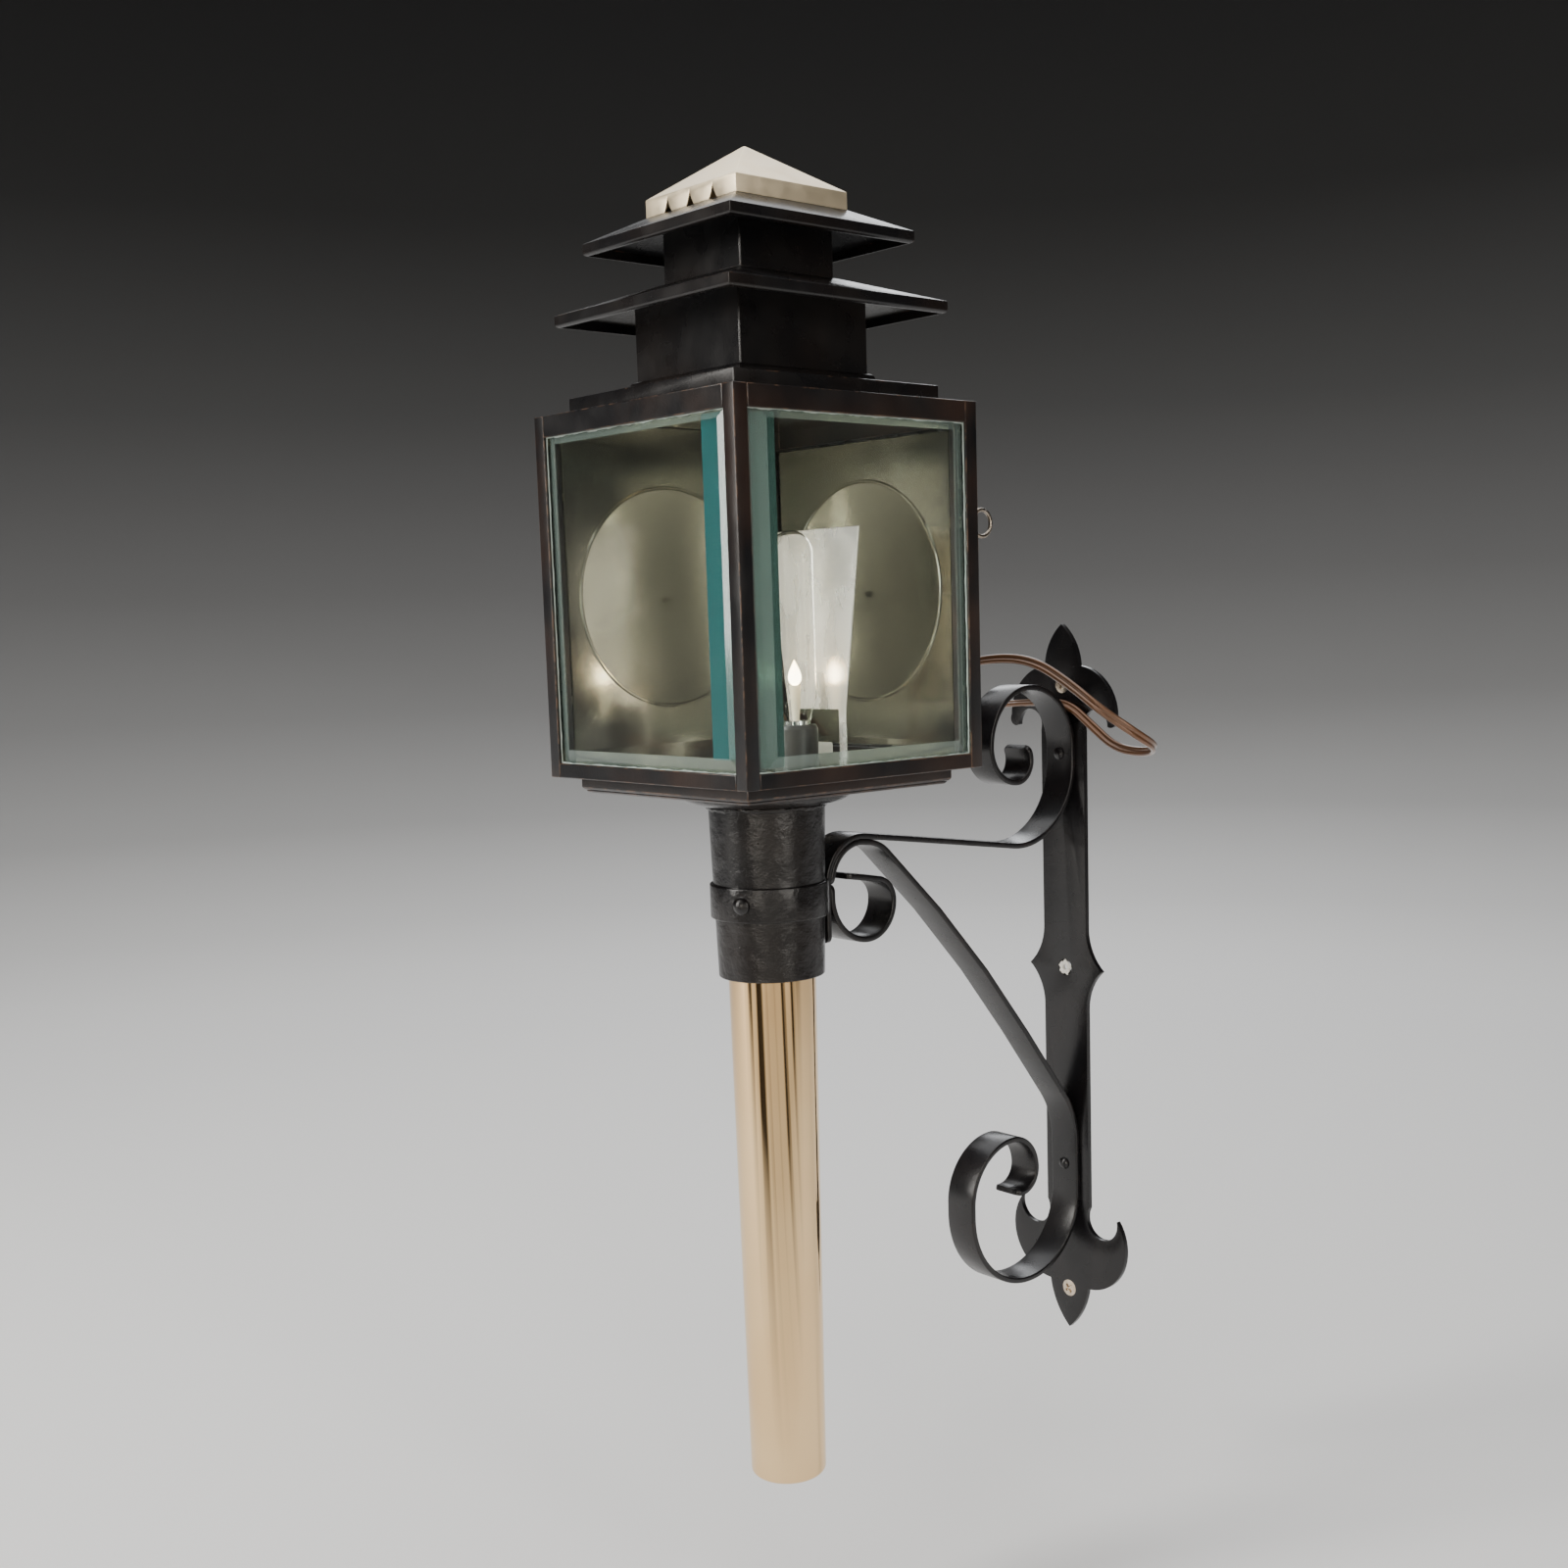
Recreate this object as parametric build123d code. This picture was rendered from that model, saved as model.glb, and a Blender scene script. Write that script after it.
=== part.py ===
"""Wall-hung carriage lantern: glazed square case, louvred roof, brass candle tube, scrolled flat-bar bracket.

Units are millimetres.  +Z is up, -Y points from the wall into the room, the wall is the plane y = 0.
The origin is on the back of the wall plate, midway between its two end screw holes.
"""
from build123d import *
from math import atan2, cos, pi, radians, sin, sqrt, tan
import os

# ---------------------------------------------------------------- driving dimensions
REACH = 221.0               # wall to lantern axis
CASE_W = 150.0              # case, left to right
CASE_D = 146.0              # case, front to back
CASE_H = 171.0              # case height
CASE_Z = 143.5              # underside of the case
SHEET = 1.2                 # sheet metal of the case, roof and socket

LEG_LAP = 0.6               # corner angle, leg beyond the pane behind it
POST_T = 1.6                # corner angle and rail thickness
TOP_RAIL_H = 10.0
BOTTOM_RAIL_H = 7.0
SEAT_GAP = 0.3              # between loose pieces that sit in the frame
EDGE_GAP = 0.5              # round the edges of the door

GLASS_T = 5.0               # pane thickness
GLASS_EDGE_T = 2.5          # what the bevel leaves at the edge
BEVEL_W = 12.0              # bevel width
BEAD = 3.0                  # glazing bead, square section

TRAY_INSET = 9.5            # stepped tray under the case, in from its narrower sides
TRAY_H = 7.8
TRAY_CHAMFER = 2.5
ROOF_INSET = 11.3           # roof pan
ROOF_EDGE_H = 8.0
ROOF_RISE = 1.5
NECK_LAP = 5.5              # lower neck, below the roof pan's top
BEAD_R = 2.4                # moulding round the foot of the lower neck
LOWER_NECK_HALF = 38.4
LOWER_LOUVRE_HALF = 65.3
LOWER_LOUVRE_EDGE_Z = 40.5  # above the top of the case
LOWER_LOUVRE_RISE = 17.5
UPPER_LOUVRE_HALF = 54.9
UPPER_LOUVRE_EDGE_Z = 72.5
UPPER_LOUVRE_RISE = 16.0
LOUVRE_EDGE_H = 5.5         # rolled edge of both louvres
LOUVRE_EDGE_T = 2.0
CAP_HALF = 33.2             # brass vent cap
CAP_SKIRT = 8.0
CAP_RISE = 22.2
CAP_WALL = 1.0
VENT_NOTCH_W = 5.6          # bell-shaped notches in the cap skirt
VENT_NOTCH_H = 6.3
VENT_NOTCHES = 3
CHIMNEY_R = 22.0            # round flue inside the necks
CHIMNEY_WALL = 0.8
FLUE_GAP = 3.8              # flue to the square holes of the louvres
NECK_SEAT_W = 1.0           # what the upper neck has to stand on inside its wall
NECK_BITE = 0.015           # bevelled edge of the lower neck, into the louvre's underside
SLOT_COUNT = 7              # vent slots along two sides of the ceiling
SLOT_LENGTH = 4.5
SLOT_WIDTH = 1.6
SLOT_PITCH = 9.0

SOCKET_ROOM = 2.42          # between the spring sleeve and the socket's mouth
FERRULE_TAPER = 2.4         # radius gained from the mouth to the top
FERRULE_L = 84.0
DOME_OVERHANG = 14.1        # domed flange between tray and socket, beyond the socket
DOME_H = 7.1
TUBE_R = 21.5               # candle tube, at and above the socket's mouth
TUBE_TAPER = 2.5            # radius lost from the mouth to the lower end
TUBE_WALL = 0.9
TUBE_L = 256.5              # below the socket's mouth
TUBE_IN_SOCKET = 77.5
TUBE_CORNER_R = 3.0
TUBE_FIT = 0.08             # radial running clearance of the tube in its spring sleeve
SLEEVE_WALL = 0.8
SLEEVE_L = 40.0
SLEEVE_SLOTS = 4
SLEEVE_SLOT_W = 2.0

BAND_H = 16.5               # clamp band round the socket
BAND_T = 1.9
BAND_BELOW_TOP = 46.5       # top of the socket to the middle of the band
BAND_SCREW_R = 2.0
BAND_SCREW_HEAD_R = 4.2
BAND_SCREW_HEAD_H = 3.0
BAND_SCREW_ANGLE = -68.0    # round the axis, from +X

BAR_W = 19.0                # flat bar of both straps
BAR_T = 3.0
PLATE_T = 3.0               # wall plate
PLATE_HALF = 15.5
TOP_TIP = 33.5              # end screw hole to the plate's tip
BOTTOM_TIP = 23.5
STAR_HALF = 26.3            # pointed swelling at the middle hole
STAR_Z = 15.0
STAR_RUN = 22.0
SCREW_SPACING = 352.0       # end hole to end hole
SCREW_R = 2.75
SCREW_SINK_R = 4.9
RIVET_R = 2.2
RIVET_HEAD_R = 3.4
RIVET_HEAD_H = 2.2
LOWER_RIVET_Z = -100.0
STRAP_TAIL = 29.0           # upper strap below the bend of its arch
ARCH_ABOVE_BAND = 2.9       # middle of the band to where both straps leave the vertical
ARCH_R = 22.5
ARM_FALL = -8.5             # slope of the upper arm, degrees
ARM_BEND_R = 43.5
ARM_RUN = 7.205             # upper strap upright on the plate
ARM_RIVET_FROM_END = 3.5
BRACE_FOOT_R = 50.0
BRACE_FOOT_Z = -86.736        # where the brace starts to lie on the plate
BRACE_END_Z = -114.0        # where its scroll starts

REFLECTOR_INSET = 12.0      # reflector plate, in from the narrower sides of the case
REFLECTOR_END = 12.5        # and from its top and bottom
REFLECTOR_RIM = 7.0         # plate beyond its round dish
REFLECTOR_T = 0.8
REFLECTOR_DEPTH = 4.0
REFLECTOR_CLEAR = 1.0       # dish to the sheet behind it
STUD_R = 2.0
STUD_INSET = 7.0            # from the reflector's sides
STUD_FROM_END = 24.0        # from its top and bottom

DOOR_LIP = 5.0              # folded edge of the door
HINGE_PIN_R = 1.25
HINGE_FIT = 0.05
KNUCKLE_R = 2.5
LEAF_T = 0.8
LEAF_GAP = 0.3
CASE_LEAF_W = 6.5
DOOR_LEAF_W = 13.0
HINGE_L = 27.0
HINGE_FROM_END = 30.0       # case end to hinge middle
CATCH_Z = 259.7
CATCH_FROM_SIDE = 8.0       # in from the door's free edge
CATCH_PLATE_W = 8.0
CATCH_PLATE_T = 2.0
CATCH_ABOVE = 15.8
CATCH_BELOW = 25.1
SPINDLE_R = 1.8
SPINDLE_FIT = 0.06
SPINDLE_OUT = 5.0           # beyond the catch plate
COLLAR_R = 2.9
TONGUE_L = 11.0
TONGUE_W = 5.0
TONGUE_T = 1.2
LOOP_WIRE_R = 1.0
LOOP_L = 19.5
LOOP_H = 14.7

LAMP_X = 10.0               # lamp, to the right of and behind the lantern axis
LAMP_BACK = 10.0
LAMP_BASE_R = 14.0
LAMP_BASE_T = 1.5
LAMP_SCREW_R = 1.4
LAMP_SCREW_HEAD_H = 1.4
HOLDER_WALL = 3.0
HOLDER_ROOM = 1.6           # round the bulb's cap
HOLDER_H = 19.8
BULB_CAP_R = 6.9
BULB_R = 10.5
BULB_NECK_LIP = 0.7         # bulb neck beyond its cap
BULB_WALL = 0.7
BULB_H = 90.0
FLAME_R = 3.1
FLAME_H = 12.5
WICK_H = 17.0
WICK_TOP_R = 2.9
WICK_FOOT_R = 1.7
MIRROR_W = 67.0             # polished plate standing behind the lamp, narrower at its foot
MIRROR_FOOT_W = 42.0
MIRROR_TOP = 113.8          # above the case floor
MIRROR_FOOT = 28.0          # gap under the plate, between its legs
MIRROR_LEG_W = 5.0
MIRROR_T = 1.0
MIRROR_GAP = 2.5            # bulb to plate
BLOCK_W = 16.0              # terminal block on the case floor
BLOCK_D = 9.0
BLOCK_H = 9.5
BLOCK_X = -19.0
BLOCK_FROM_REAR = 25.5

GLAND_R = 6.5               # cable gland in the left wall
GLAND_HEX = 13.0
GLAND_Z = 165.0
GLAND_FROM_REAR = 17.0
GLAND_FLANGE_T = 3.0
RELIEF_L = 24.0
RELIEF_R = 4.9
RELIEF_TIP_R = 3.3
CORD_R = 2.6
FLEX_R = 2.0
CONNECTOR_L = 21.0
CONNECTOR_W = 16.0
CONNECTOR_T = 9.5
CONNECTOR_SCREW_R = 2.2

# ---------------------------------------------------------------- places worked out from them
AXIS_Y = -REACH
CASE_TOP = CASE_Z + CASE_H
CASE_MID_Z = CASE_Z + CASE_H / 2
FLOOR_Z = CASE_Z + SHEET
LEFT_X = -CASE_W / 2
RIGHT_X = CASE_W / 2
FRONT_Y = AXIS_Y - CASE_D / 2
REAR_Y = AXIS_Y + CASE_D / 2
POST_LEG = POST_T + SEAT_GAP + GLASS_T + LEG_LAP
NARROW_HALF = min(CASE_W, CASE_D) / 2
TRAY_HALF = NARROW_HALF - TRAY_INSET
ROOF_HALF = NARROW_HALF - ROOF_INSET
UPPER_NECK_HALF = CHIMNEY_R + FLUE_GAP + NECK_SEAT_W + SHEET
FERRULE_MOUTH_R = TUBE_R + TUBE_FIT + SLEEVE_WALL + SOCKET_ROOM + SHEET
FERRULE_TOP_R = FERRULE_MOUTH_R + FERRULE_TAPER
DOME_R = FERRULE_TOP_R + DOME_OVERHANG
TUBE_END_R = TUBE_R - TUBE_TAPER
PLATE_TOP = SCREW_SPACING / 2 + TOP_TIP
PLATE_BOTTOM = -SCREW_SPACING / 2 - BOTTOM_TIP
REFLECTOR_W = 2 * (NARROW_HALF - REFLECTOR_INSET)
REFLECTOR_H = CASE_H - 2 * REFLECTOR_END
REFLECTOR_R = REFLECTOR_W / 2 - REFLECTOR_RIM
REFLECTOR_STAND = REFLECTOR_DEPTH + REFLECTOR_CLEAR
HOLDER_BORE_R = BULB_CAP_R + HOLDER_ROOM
HOLDER_R = HOLDER_BORE_R + HOLDER_WALL
BULB_NECK_R = BULB_CAP_R + BULB_NECK_LIP
FERRULE_TOP = CASE_Z - TRAY_H - DOME_H
FERRULE_MOUTH = FERRULE_TOP - FERRULE_L
TUBE_BOTTOM = FERRULE_MOUTH - TUBE_L
TUBE_TOP = FERRULE_MOUTH + TUBE_IN_SOCKET
BAND_Z = FERRULE_TOP - BAND_BELOW_TOP
LAMP_Y = AXIS_Y + LAMP_BACK
MIRROR_Y = LAMP_Y + BULB_R + MIRROR_GAP
GLAND_Y = REAR_Y - GLAND_FROM_REAR
PIVOT_X = LEFT_X + POST_LEG
PIVOT_Y = REAR_Y + KNUCKLE_R + EDGE_GAP
DOOR_RIGHT = RIGHT_X - POST_LEG - EDGE_GAP
DOOR_LEFT = PIVOT_X + EDGE_GAP
DOOR_BOTTOM = CASE_Z + BOTTOM_RAIL_H + EDGE_GAP
DOOR_TOP = CASE_TOP - TOP_RAIL_H - EDGE_GAP
CATCH_X = DOOR_RIGHT - CATCH_FROM_SIDE
HINGE_ZS = (CASE_Z + HINGE_FROM_END, CASE_TOP - HINGE_FROM_END)
PANE_BOTTOM = FLOOR_Z + SEAT_GAP
PANE_TOP = CASE_TOP - SHEET - SEAT_GAP
GLASS_FRONT = FRONT_Y + POST_T + SEAT_GAP
GLASS_BACK = GLASS_FRONT + GLASS_T
GLASS_RIGHT = RIGHT_X - POST_T - SEAT_GAP
GLASS_LEFT = GLASS_RIGHT - GLASS_T
INSIDE_REAR = REAR_Y - POST_T - EDGE_GAP

# Twin flex, from the tip of the strain relief round behind the case, over the upper scroll, out to the
# right of the wall plate, back between the upper strap and the plate, and along the wall to its connector.
CORD_POINTS = [
    (-100.4, -165, 165),
    (-121, -164.6, 164.6),
    (-139, -151, 165.4),
    (-145, -128, 167.3),
    (-131, -105, 170.5),
    (-107, -93, 174),
    (-80, -85, 178),
    (-53, -78.5, 182),
    (-26, -71, 186.5),
    (2, -63, 193),
    (27, -57.5, 191.5),
    (50, -55, 179),
    (68, -51, 165),
    (81, -36.5, 151.5),
    (78, -17, 143.5),
    (61, -7.6, 140),
    (41, -6.9, 142),
    (24, -6.6, 154),
    (7, -6.4, 166),
    (-14, -6.5, 166.2),
    (-38, -6.8, 165),
    (-61, -7.2, 161.5),
    (-84, -6.8, 156),
    (-103, -6.4, 149),
]
FLEX_IN_POINTS = [(-67.2, -165, 165), (-55, -165, 165), (-43, -173, 149.5), (-27, -173, 149.5)]
FLEX_LAMP_POINTS = [(-19, -178, 149.5), (-19, -186, 149.5), (0, -192, 153), (2.6, -204.4, 155)]
STRAIGHT_SHARE = 0.45       # share of a run that each of its two arcs may take


# ---------------------------------------------------------------- helpers
def block(x0, x1, y0, y1, z0, z1):
    """Box between two opposite corners."""
    return Pos((x0 + x1) / 2, (y0 + y1) / 2, (z0 + z1) / 2) * Box(abs(x1 - x0), abs(y1 - y0), abs(z1 - z0))


def rod(start, end, radius):
    """Round bar from one point to another."""
    a, b = Vector(*start), Vector(*end)
    middle = (a + b) * 0.5
    return Plane(origin=middle, z_dir=b - a) * Cylinder(radius, (b - a).length)


def square_frustum(half_low, z_low, half_high, z_high):
    """Four-sided frustum about the lantern axis."""
    low = Plane((0, AXIS_Y, z_low)) * Rectangle(2 * half_low, 2 * half_low)
    high = Plane((0, AXIS_Y, z_high)) * Rectangle(2 * half_high, 2 * half_high)
    return loft([low, high])


def square_tube(half, wall, z0, z1):
    """Square tube about the lantern axis."""
    outer = block(-half, half, AXIS_Y - half, AXIS_Y + half, z0, z1)
    inside = half - wall
    return outer - block(-inside, inside, AXIS_Y - inside, AXIS_Y + inside, z0 - 1, z1 + 1)


def turned(points, x=0.0, y=AXIS_Y):
    """Solid of revolution about a vertical axis from (radius, z) corners."""
    outline = make_face(Polyline([(r, 0, z) for r, z in points], close=True))
    return Pos(x, y, 0) * revolve(outline, Axis.Z)


def ferrule_radius(z):
    """Outside radius of the tapered socket at a height."""
    share = (z - FERRULE_MOUTH) / FERRULE_L
    return FERRULE_MOUTH_R + share * (FERRULE_TOP_R - FERRULE_MOUTH_R)


class Bar:
    """Centre line of a bent flat bar in the plane x = 0, drawn as tangent runs and arcs."""

    def __init__(self, y, z, heading):
        self.y, self.z, self.heading = y, z, heading
        self.edges = []

    def run(self, length):
        """Straight run along the heading."""
        y1 = self.y + length * cos(radians(self.heading))
        z1 = self.z + length * sin(radians(self.heading))
        self.edges.append(Edge.make_line((0, self.y, self.z), (0, y1, z1)))
        self.y, self.z = y1, z1
        return self

    def bend(self, radius, turn):
        """Arc through a turn in degrees, positive to the left of the heading."""
        side = 1 if turn > 0 else -1

        def on_arc(part):
            angle = radians(self.heading + part * turn)
            start = radians(self.heading)
            y = self.y + side * radius * (sin(angle) - sin(start))
            z = self.z - side * radius * (cos(angle) - cos(start))
            return (0, y, z)

        middle, end = on_arc(0.5), on_arc(1.0)
        self.edges.append(Edge.make_three_point_arc((0, self.y, self.z), middle, end))
        self.y, self.z = end[1], end[2]
        self.heading += turn
        return self

    def solid(self):
        """Flat bar of the strap section along the centre line."""
        pieces = []
        for edge in self.edges:
            start, way = edge @ 0, edge % 0
            section = Plane(origin=start, x_dir=(1, 0, 0), z_dir=way) * Rectangle(BAR_W, BAR_T)
            pieces.append(sweep(section, path=edge))
        bar = pieces[0]
        for piece in pieces[1:]:
            bar = bar + piece
        return bar


def corner_radii(points):
    """Largest tangent arc that each inner corner of a cord's route has room for."""
    radii = []
    for before, corner, after in zip(points, points[1:], points[2:]):
        run_in = Vector(*corner) - Vector(*before)
        run_out = Vector(*after) - Vector(*corner)
        half_turn = radians(run_in.get_angle(run_out) / 2)
        radii.append(STRAIGHT_SHARE * min(run_in.length, run_out.length) / tan(half_turn))
    return radii


def cord_tube(name, points, radius):
    """Round tube along straight runs joined by tangent arcs."""
    radii = corner_radii(points)
    path = FilletPolyline(*points, radius=radii)
    start = Plane(origin=path @ 0, z_dir=path % 0)
    tube = sweep(start * Circle(radius), path=path)
    section_volume = pi * radius**2 * path.length
    print(name, "length", round(path.length, 1), "radii", [round(r, 1) for r in radii])
    print(name, "volume over section times length", round(tube.volume / section_volume, 4))
    return tube


def dome_head(centre, way, radius, height):
    """Rivet or screw head: a flat-backed spherical cap with a short rim."""
    rim = height * 0.3
    crown = height - rim
    ball_r = (radius**2 + crown**2) / (2 * crown)
    plane = Plane(origin=centre, z_dir=way)
    rim_disc = Pos(0, 0, rim / 2) * Cylinder(radius, rim)
    ball = Pos(0, 0, rim + crown - ball_r) * Sphere(ball_r)
    crown_zone = Pos(0, 0, rim + crown / 2) * Cylinder(radius, crown)
    return plane * (rim_disc + (ball & crown_zone))


# ---------------------------------------------------------------- bracket
def wall_plate():
    """Flat plate with a leaf tip, two crescents and a middle star point, screwed to the wall."""
    half = PLATE_HALF
    leaf_top = PLATE_TOP - 23.0
    crescent_out = half + 22.5
    crescent_low = PLATE_TOP - 59.0
    upper = [
        ThreePointArc((0, PLATE_TOP), (8.0, PLATE_TOP - 9.0), (12.4, leaf_top)),
        ThreePointArc((12.4, leaf_top), (30.5, PLATE_TOP - 32.0), (crescent_out, PLATE_TOP - 51.0)),
        ThreePointArc((crescent_out, PLATE_TOP - 51.0), (crescent_out - 1.2, PLATE_TOP - 56.5),
                      (crescent_out - 5.5, PLATE_TOP - 56.5)),
        ThreePointArc((crescent_out - 5.5, PLATE_TOP - 56.5), (half + 9.0, PLATE_TOP - 47.5), (half, crescent_low)),
    ]
    star = [
        Line((half, crescent_low), (half, STAR_Z + STAR_RUN)),
        ThreePointArc((half, STAR_Z + STAR_RUN), (half + 3.0, STAR_Z + 10.0), (STAR_HALF, STAR_Z)),
        ThreePointArc((STAR_HALF, STAR_Z), (half + 3.0, STAR_Z - 10.0), (half, STAR_Z - STAR_RUN)),
    ]
    hook_z = PLATE_BOTTOM + 54.0
    hook_r = 27.5
    hook_x = half - 1.5
    foot_z = hook_z - hook_r
    hook_tip = (36.0, hook_z + 17.5)
    hook_side = (hook_x + hook_r * cos(radians(-35)), hook_z + hook_r * sin(radians(-35)))
    lower = [
        Line((half, STAR_Z - STAR_RUN), (half, hook_z + 21.0)),
        ThreePointArc((half, hook_z + 21.0), (half + 7.0, hook_z + 4.5), hook_tip),
        ThreePointArc(hook_tip, hook_side, (hook_x, foot_z)),
        ThreePointArc((hook_x, foot_z), (9.6, foot_z - 14.0), (0, PLATE_BOTTOM)),
    ]
    right_half = Curve() + upper + star + lower
    outline = make_face(right_half + Line((0, PLATE_BOTTOM), (0, PLATE_TOP)))
    front = Plane(origin=(0, 0, 0), x_dir=(1, 0, 0), z_dir=(0, -1, 0))
    whole = outline + mirror(outline, Plane.YZ)
    plate = extrude(front * whole, PLATE_T)
    sink_h = SCREW_SINK_R - SCREW_R
    for z in (SCREW_SPACING / 2, STAR_Z, -SCREW_SPACING / 2):
        plate -= rod((0, 1, z), (0, -PLATE_T - 1, z), SCREW_R)
        mouth = Plane(origin=(0, -PLATE_T + sink_h / 2, z), z_dir=(0, -1, 0))
        plate -= mouth * Cone(SCREW_R, SCREW_SINK_R, sink_h)
    for z in (UPPER_RIVET_Z, LOWER_RIVET_Z):
        plate -= rod((0, 1, z), (0, -PLATE_T - 1, z), RIVET_R)
    return plate


BAND_BACK_Y = AXIS_Y + ferrule_radius(BAND_Z) + BAND_T
UPPER_BAR_Y = BAND_BACK_Y + BAR_T / 2
LOWER_BAR_Y = UPPER_BAR_Y + BAR_T
ON_PLATE_Y = -PLATE_T - BAR_T / 2
ARCH_Z = BAND_Z + ARCH_ABOVE_BAND


def arm_to_plate():
    """Upper arm from the clamp until it stands against the wall plate."""
    bar = Bar(UPPER_BAR_Y, ARCH_Z - STRAP_TAIL, 90).run(STRAP_TAIL).bend(ARCH_R, ARM_FALL - 90)
    sweep_y = ARM_BEND_R * (1 - sin(radians(ARM_FALL)))
    bar.run((ON_PLATE_Y - sweep_y - bar.y) / cos(radians(ARM_FALL)))
    return bar.bend(ARM_BEND_R, 90 - ARM_FALL)


def brace_to_plate(turn):
    """Brace from the clamp until it stands against the wall plate, by the turn of its second bend."""
    bar = Bar(LOWER_BAR_Y, ARCH_Z, 90).bend(ARCH_R - BAR_T, ARM_FALL - 90).run(4.0)
    bar.bend(22.0, turn).bend(800.0, -11.0)
    foot_y = BRACE_FOOT_R * (1 - sin(radians(-bar.heading)))
    bar.run((ON_PLATE_Y - foot_y - bar.y) / cos(radians(bar.heading)))
    return bar.bend(BRACE_FOOT_R, -90 - bar.heading)


def brace_turn():
    """Turn of the brace's second bend that brings it to the plate at its height, found by halving."""
    steep, shallow = -65.0, -5.0
    while shallow - steep > 1e-7:
        middle = (steep + shallow) / 2
        if brace_to_plate(middle).z < BRACE_FOOT_Z:
            steep = middle
        else:
            shallow = middle
    return (steep + shallow) / 2


ARM_ON_PLATE_Z = arm_to_plate().z
UPPER_RIVET_Z = ARM_ON_PLATE_Z + ARM_RUN - ARM_RIVET_FROM_END


def upper_strap():
    """Arm from the clamp to the wall plate, ending in the upper scroll."""
    bar = arm_to_plate().run(ARM_RUN)
    bar.bend(35.0, 90).bend(31.0, 90).bend(20.0, 90).bend(11.5, 130)
    solid = bar.solid()
    tail_edges = solid.edges().filter_by(Axis.Y).group_by(Axis.Z)[0]
    solid = fillet(tail_edges, 5.0)
    solid -= clamp_rivet_hole()
    return solid - rod((0, 1, UPPER_RIVET_Z), (0, -15, UPPER_RIVET_Z), RIVET_R)


def lower_strap():
    """Brace from its small curl at the clamp down to the wall plate, ending in the lower scroll."""
    curl = Bar(LOWER_BAR_Y, ARCH_Z, -90).run(6.4).bend(24.0, 90).bend(18.0, 90).bend(12.0, 80).run(22.5)
    brace = brace_to_plate(brace_turn()).run(BRACE_FOOT_Z - BRACE_END_Z)
    brace.bend(42.0, -90).bend(45.0, -90).run(6.0).bend(32.0, -90).bend(20.0, -90).bend(12.0, -110)
    solid = curl.solid() + brace.solid()
    solid -= clamp_rivet_hole()
    return solid - rod((0, 1, LOWER_RIVET_Z), (0, -15, LOWER_RIVET_Z), RIVET_R)


def clamp_rivet_hole():
    """Hole for the rivet through band, upper strap and lower strap."""
    return rod((0, BAND_BACK_Y - BAND_T - 2, BAND_Z), (0, LOWER_BAR_Y + BAR_T, BAND_Z), RIVET_R)


def plate_rivets():
    """One rivet for each strap on the wall plate."""
    rivets = []
    face_y = -PLATE_T - BAR_T
    for z in (UPPER_RIVET_Z, LOWER_RIVET_Z):
        shank = rod((0, 0, z), (0, face_y, z), RIVET_R)
        rivets.append(shank + dome_head((0, face_y, z), (0, -1, 0), RIVET_HEAD_R, RIVET_HEAD_H))
    return Compound(children=rivets)


def clamp_band():
    """Tapered ring round the socket."""
    low, high = BAND_Z - BAND_H / 2, BAND_Z + BAND_H / 2
    inner_low, inner_high = ferrule_radius(low), ferrule_radius(high)
    outer = ferrule_radius(BAND_Z) + BAND_T
    band = turned([(inner_low, low), (outer, low), (outer, high), (inner_high, high)])
    band -= clamp_rivet_hole()
    return band - band_screw_shank()


def clamp_rivet():
    """Rivet through band and both straps, its head towards the wall."""
    inner_y = AXIS_Y + ferrule_radius(BAND_Z) + 0.4
    face_y = LOWER_BAR_Y + BAR_T / 2
    shank = rod((0, inner_y, BAND_Z), (0, face_y, BAND_Z), RIVET_R)
    return shank + dome_head((0, face_y, BAND_Z), (0, 1, 0), RIVET_HEAD_R, RIVET_HEAD_H)


def band_screw_way():
    """Outward direction of the band's screw."""
    angle = radians(BAND_SCREW_ANGLE)
    return Vector(cos(angle), sin(angle), 0)


def band_screw_shank():
    """Shank of the screw that pins the band to the socket."""
    way = band_screw_way()
    centre = Vector(0, AXIS_Y, BAND_Z)
    inner = centre + way * (ferrule_radius(BAND_Z) - SHEET)
    outer = centre + way * (ferrule_radius(BAND_Z) + BAND_T)
    return rod(tuple(inner), tuple(outer), BAND_SCREW_R)


def clamp_screw():
    """Screw with a low round head, through the band into the socket."""
    way = band_screw_way()
    seat = Vector(0, AXIS_Y, BAND_Z) + way * (ferrule_radius(BAND_Z) + BAND_T - 0.25)
    ring = turned([(0, BAND_Z - 9), (ferrule_radius(BAND_Z) + BAND_T, BAND_Z - 9),
                   (ferrule_radius(BAND_Z) + BAND_T, BAND_Z + 9), (0, BAND_Z + 9)])
    head = dome_head(tuple(seat), tuple(way), BAND_SCREW_HEAD_R, BAND_SCREW_HEAD_H) - ring
    return head + band_screw_shank()


# ---------------------------------------------------------------- socket and candle tube
def socket_dome():
    """Domed flange under the tray."""
    top = CASE_Z - TRAY_H
    with BuildPart() as dome:
        with BuildSketch(Plane.XZ):
            with BuildLine():
                outer = ThreePointArc((DOME_R, top), (DOME_R - 5.0, top - 5.4), (FERRULE_TOP_R, FERRULE_TOP))
                Line(outer @ 1, (FERRULE_TOP_R - SHEET, FERRULE_TOP))
                inner = ThreePointArc((FERRULE_TOP_R - SHEET, FERRULE_TOP), (DOME_R - 6.2, top - 4.2),
                                      (DOME_R - SHEET, top))
                Line(inner @ 1, outer @ 0)
            make_face()
        revolve(axis=Axis.Z)
    return Pos(0, AXIS_Y, 0) * dome.part


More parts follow.
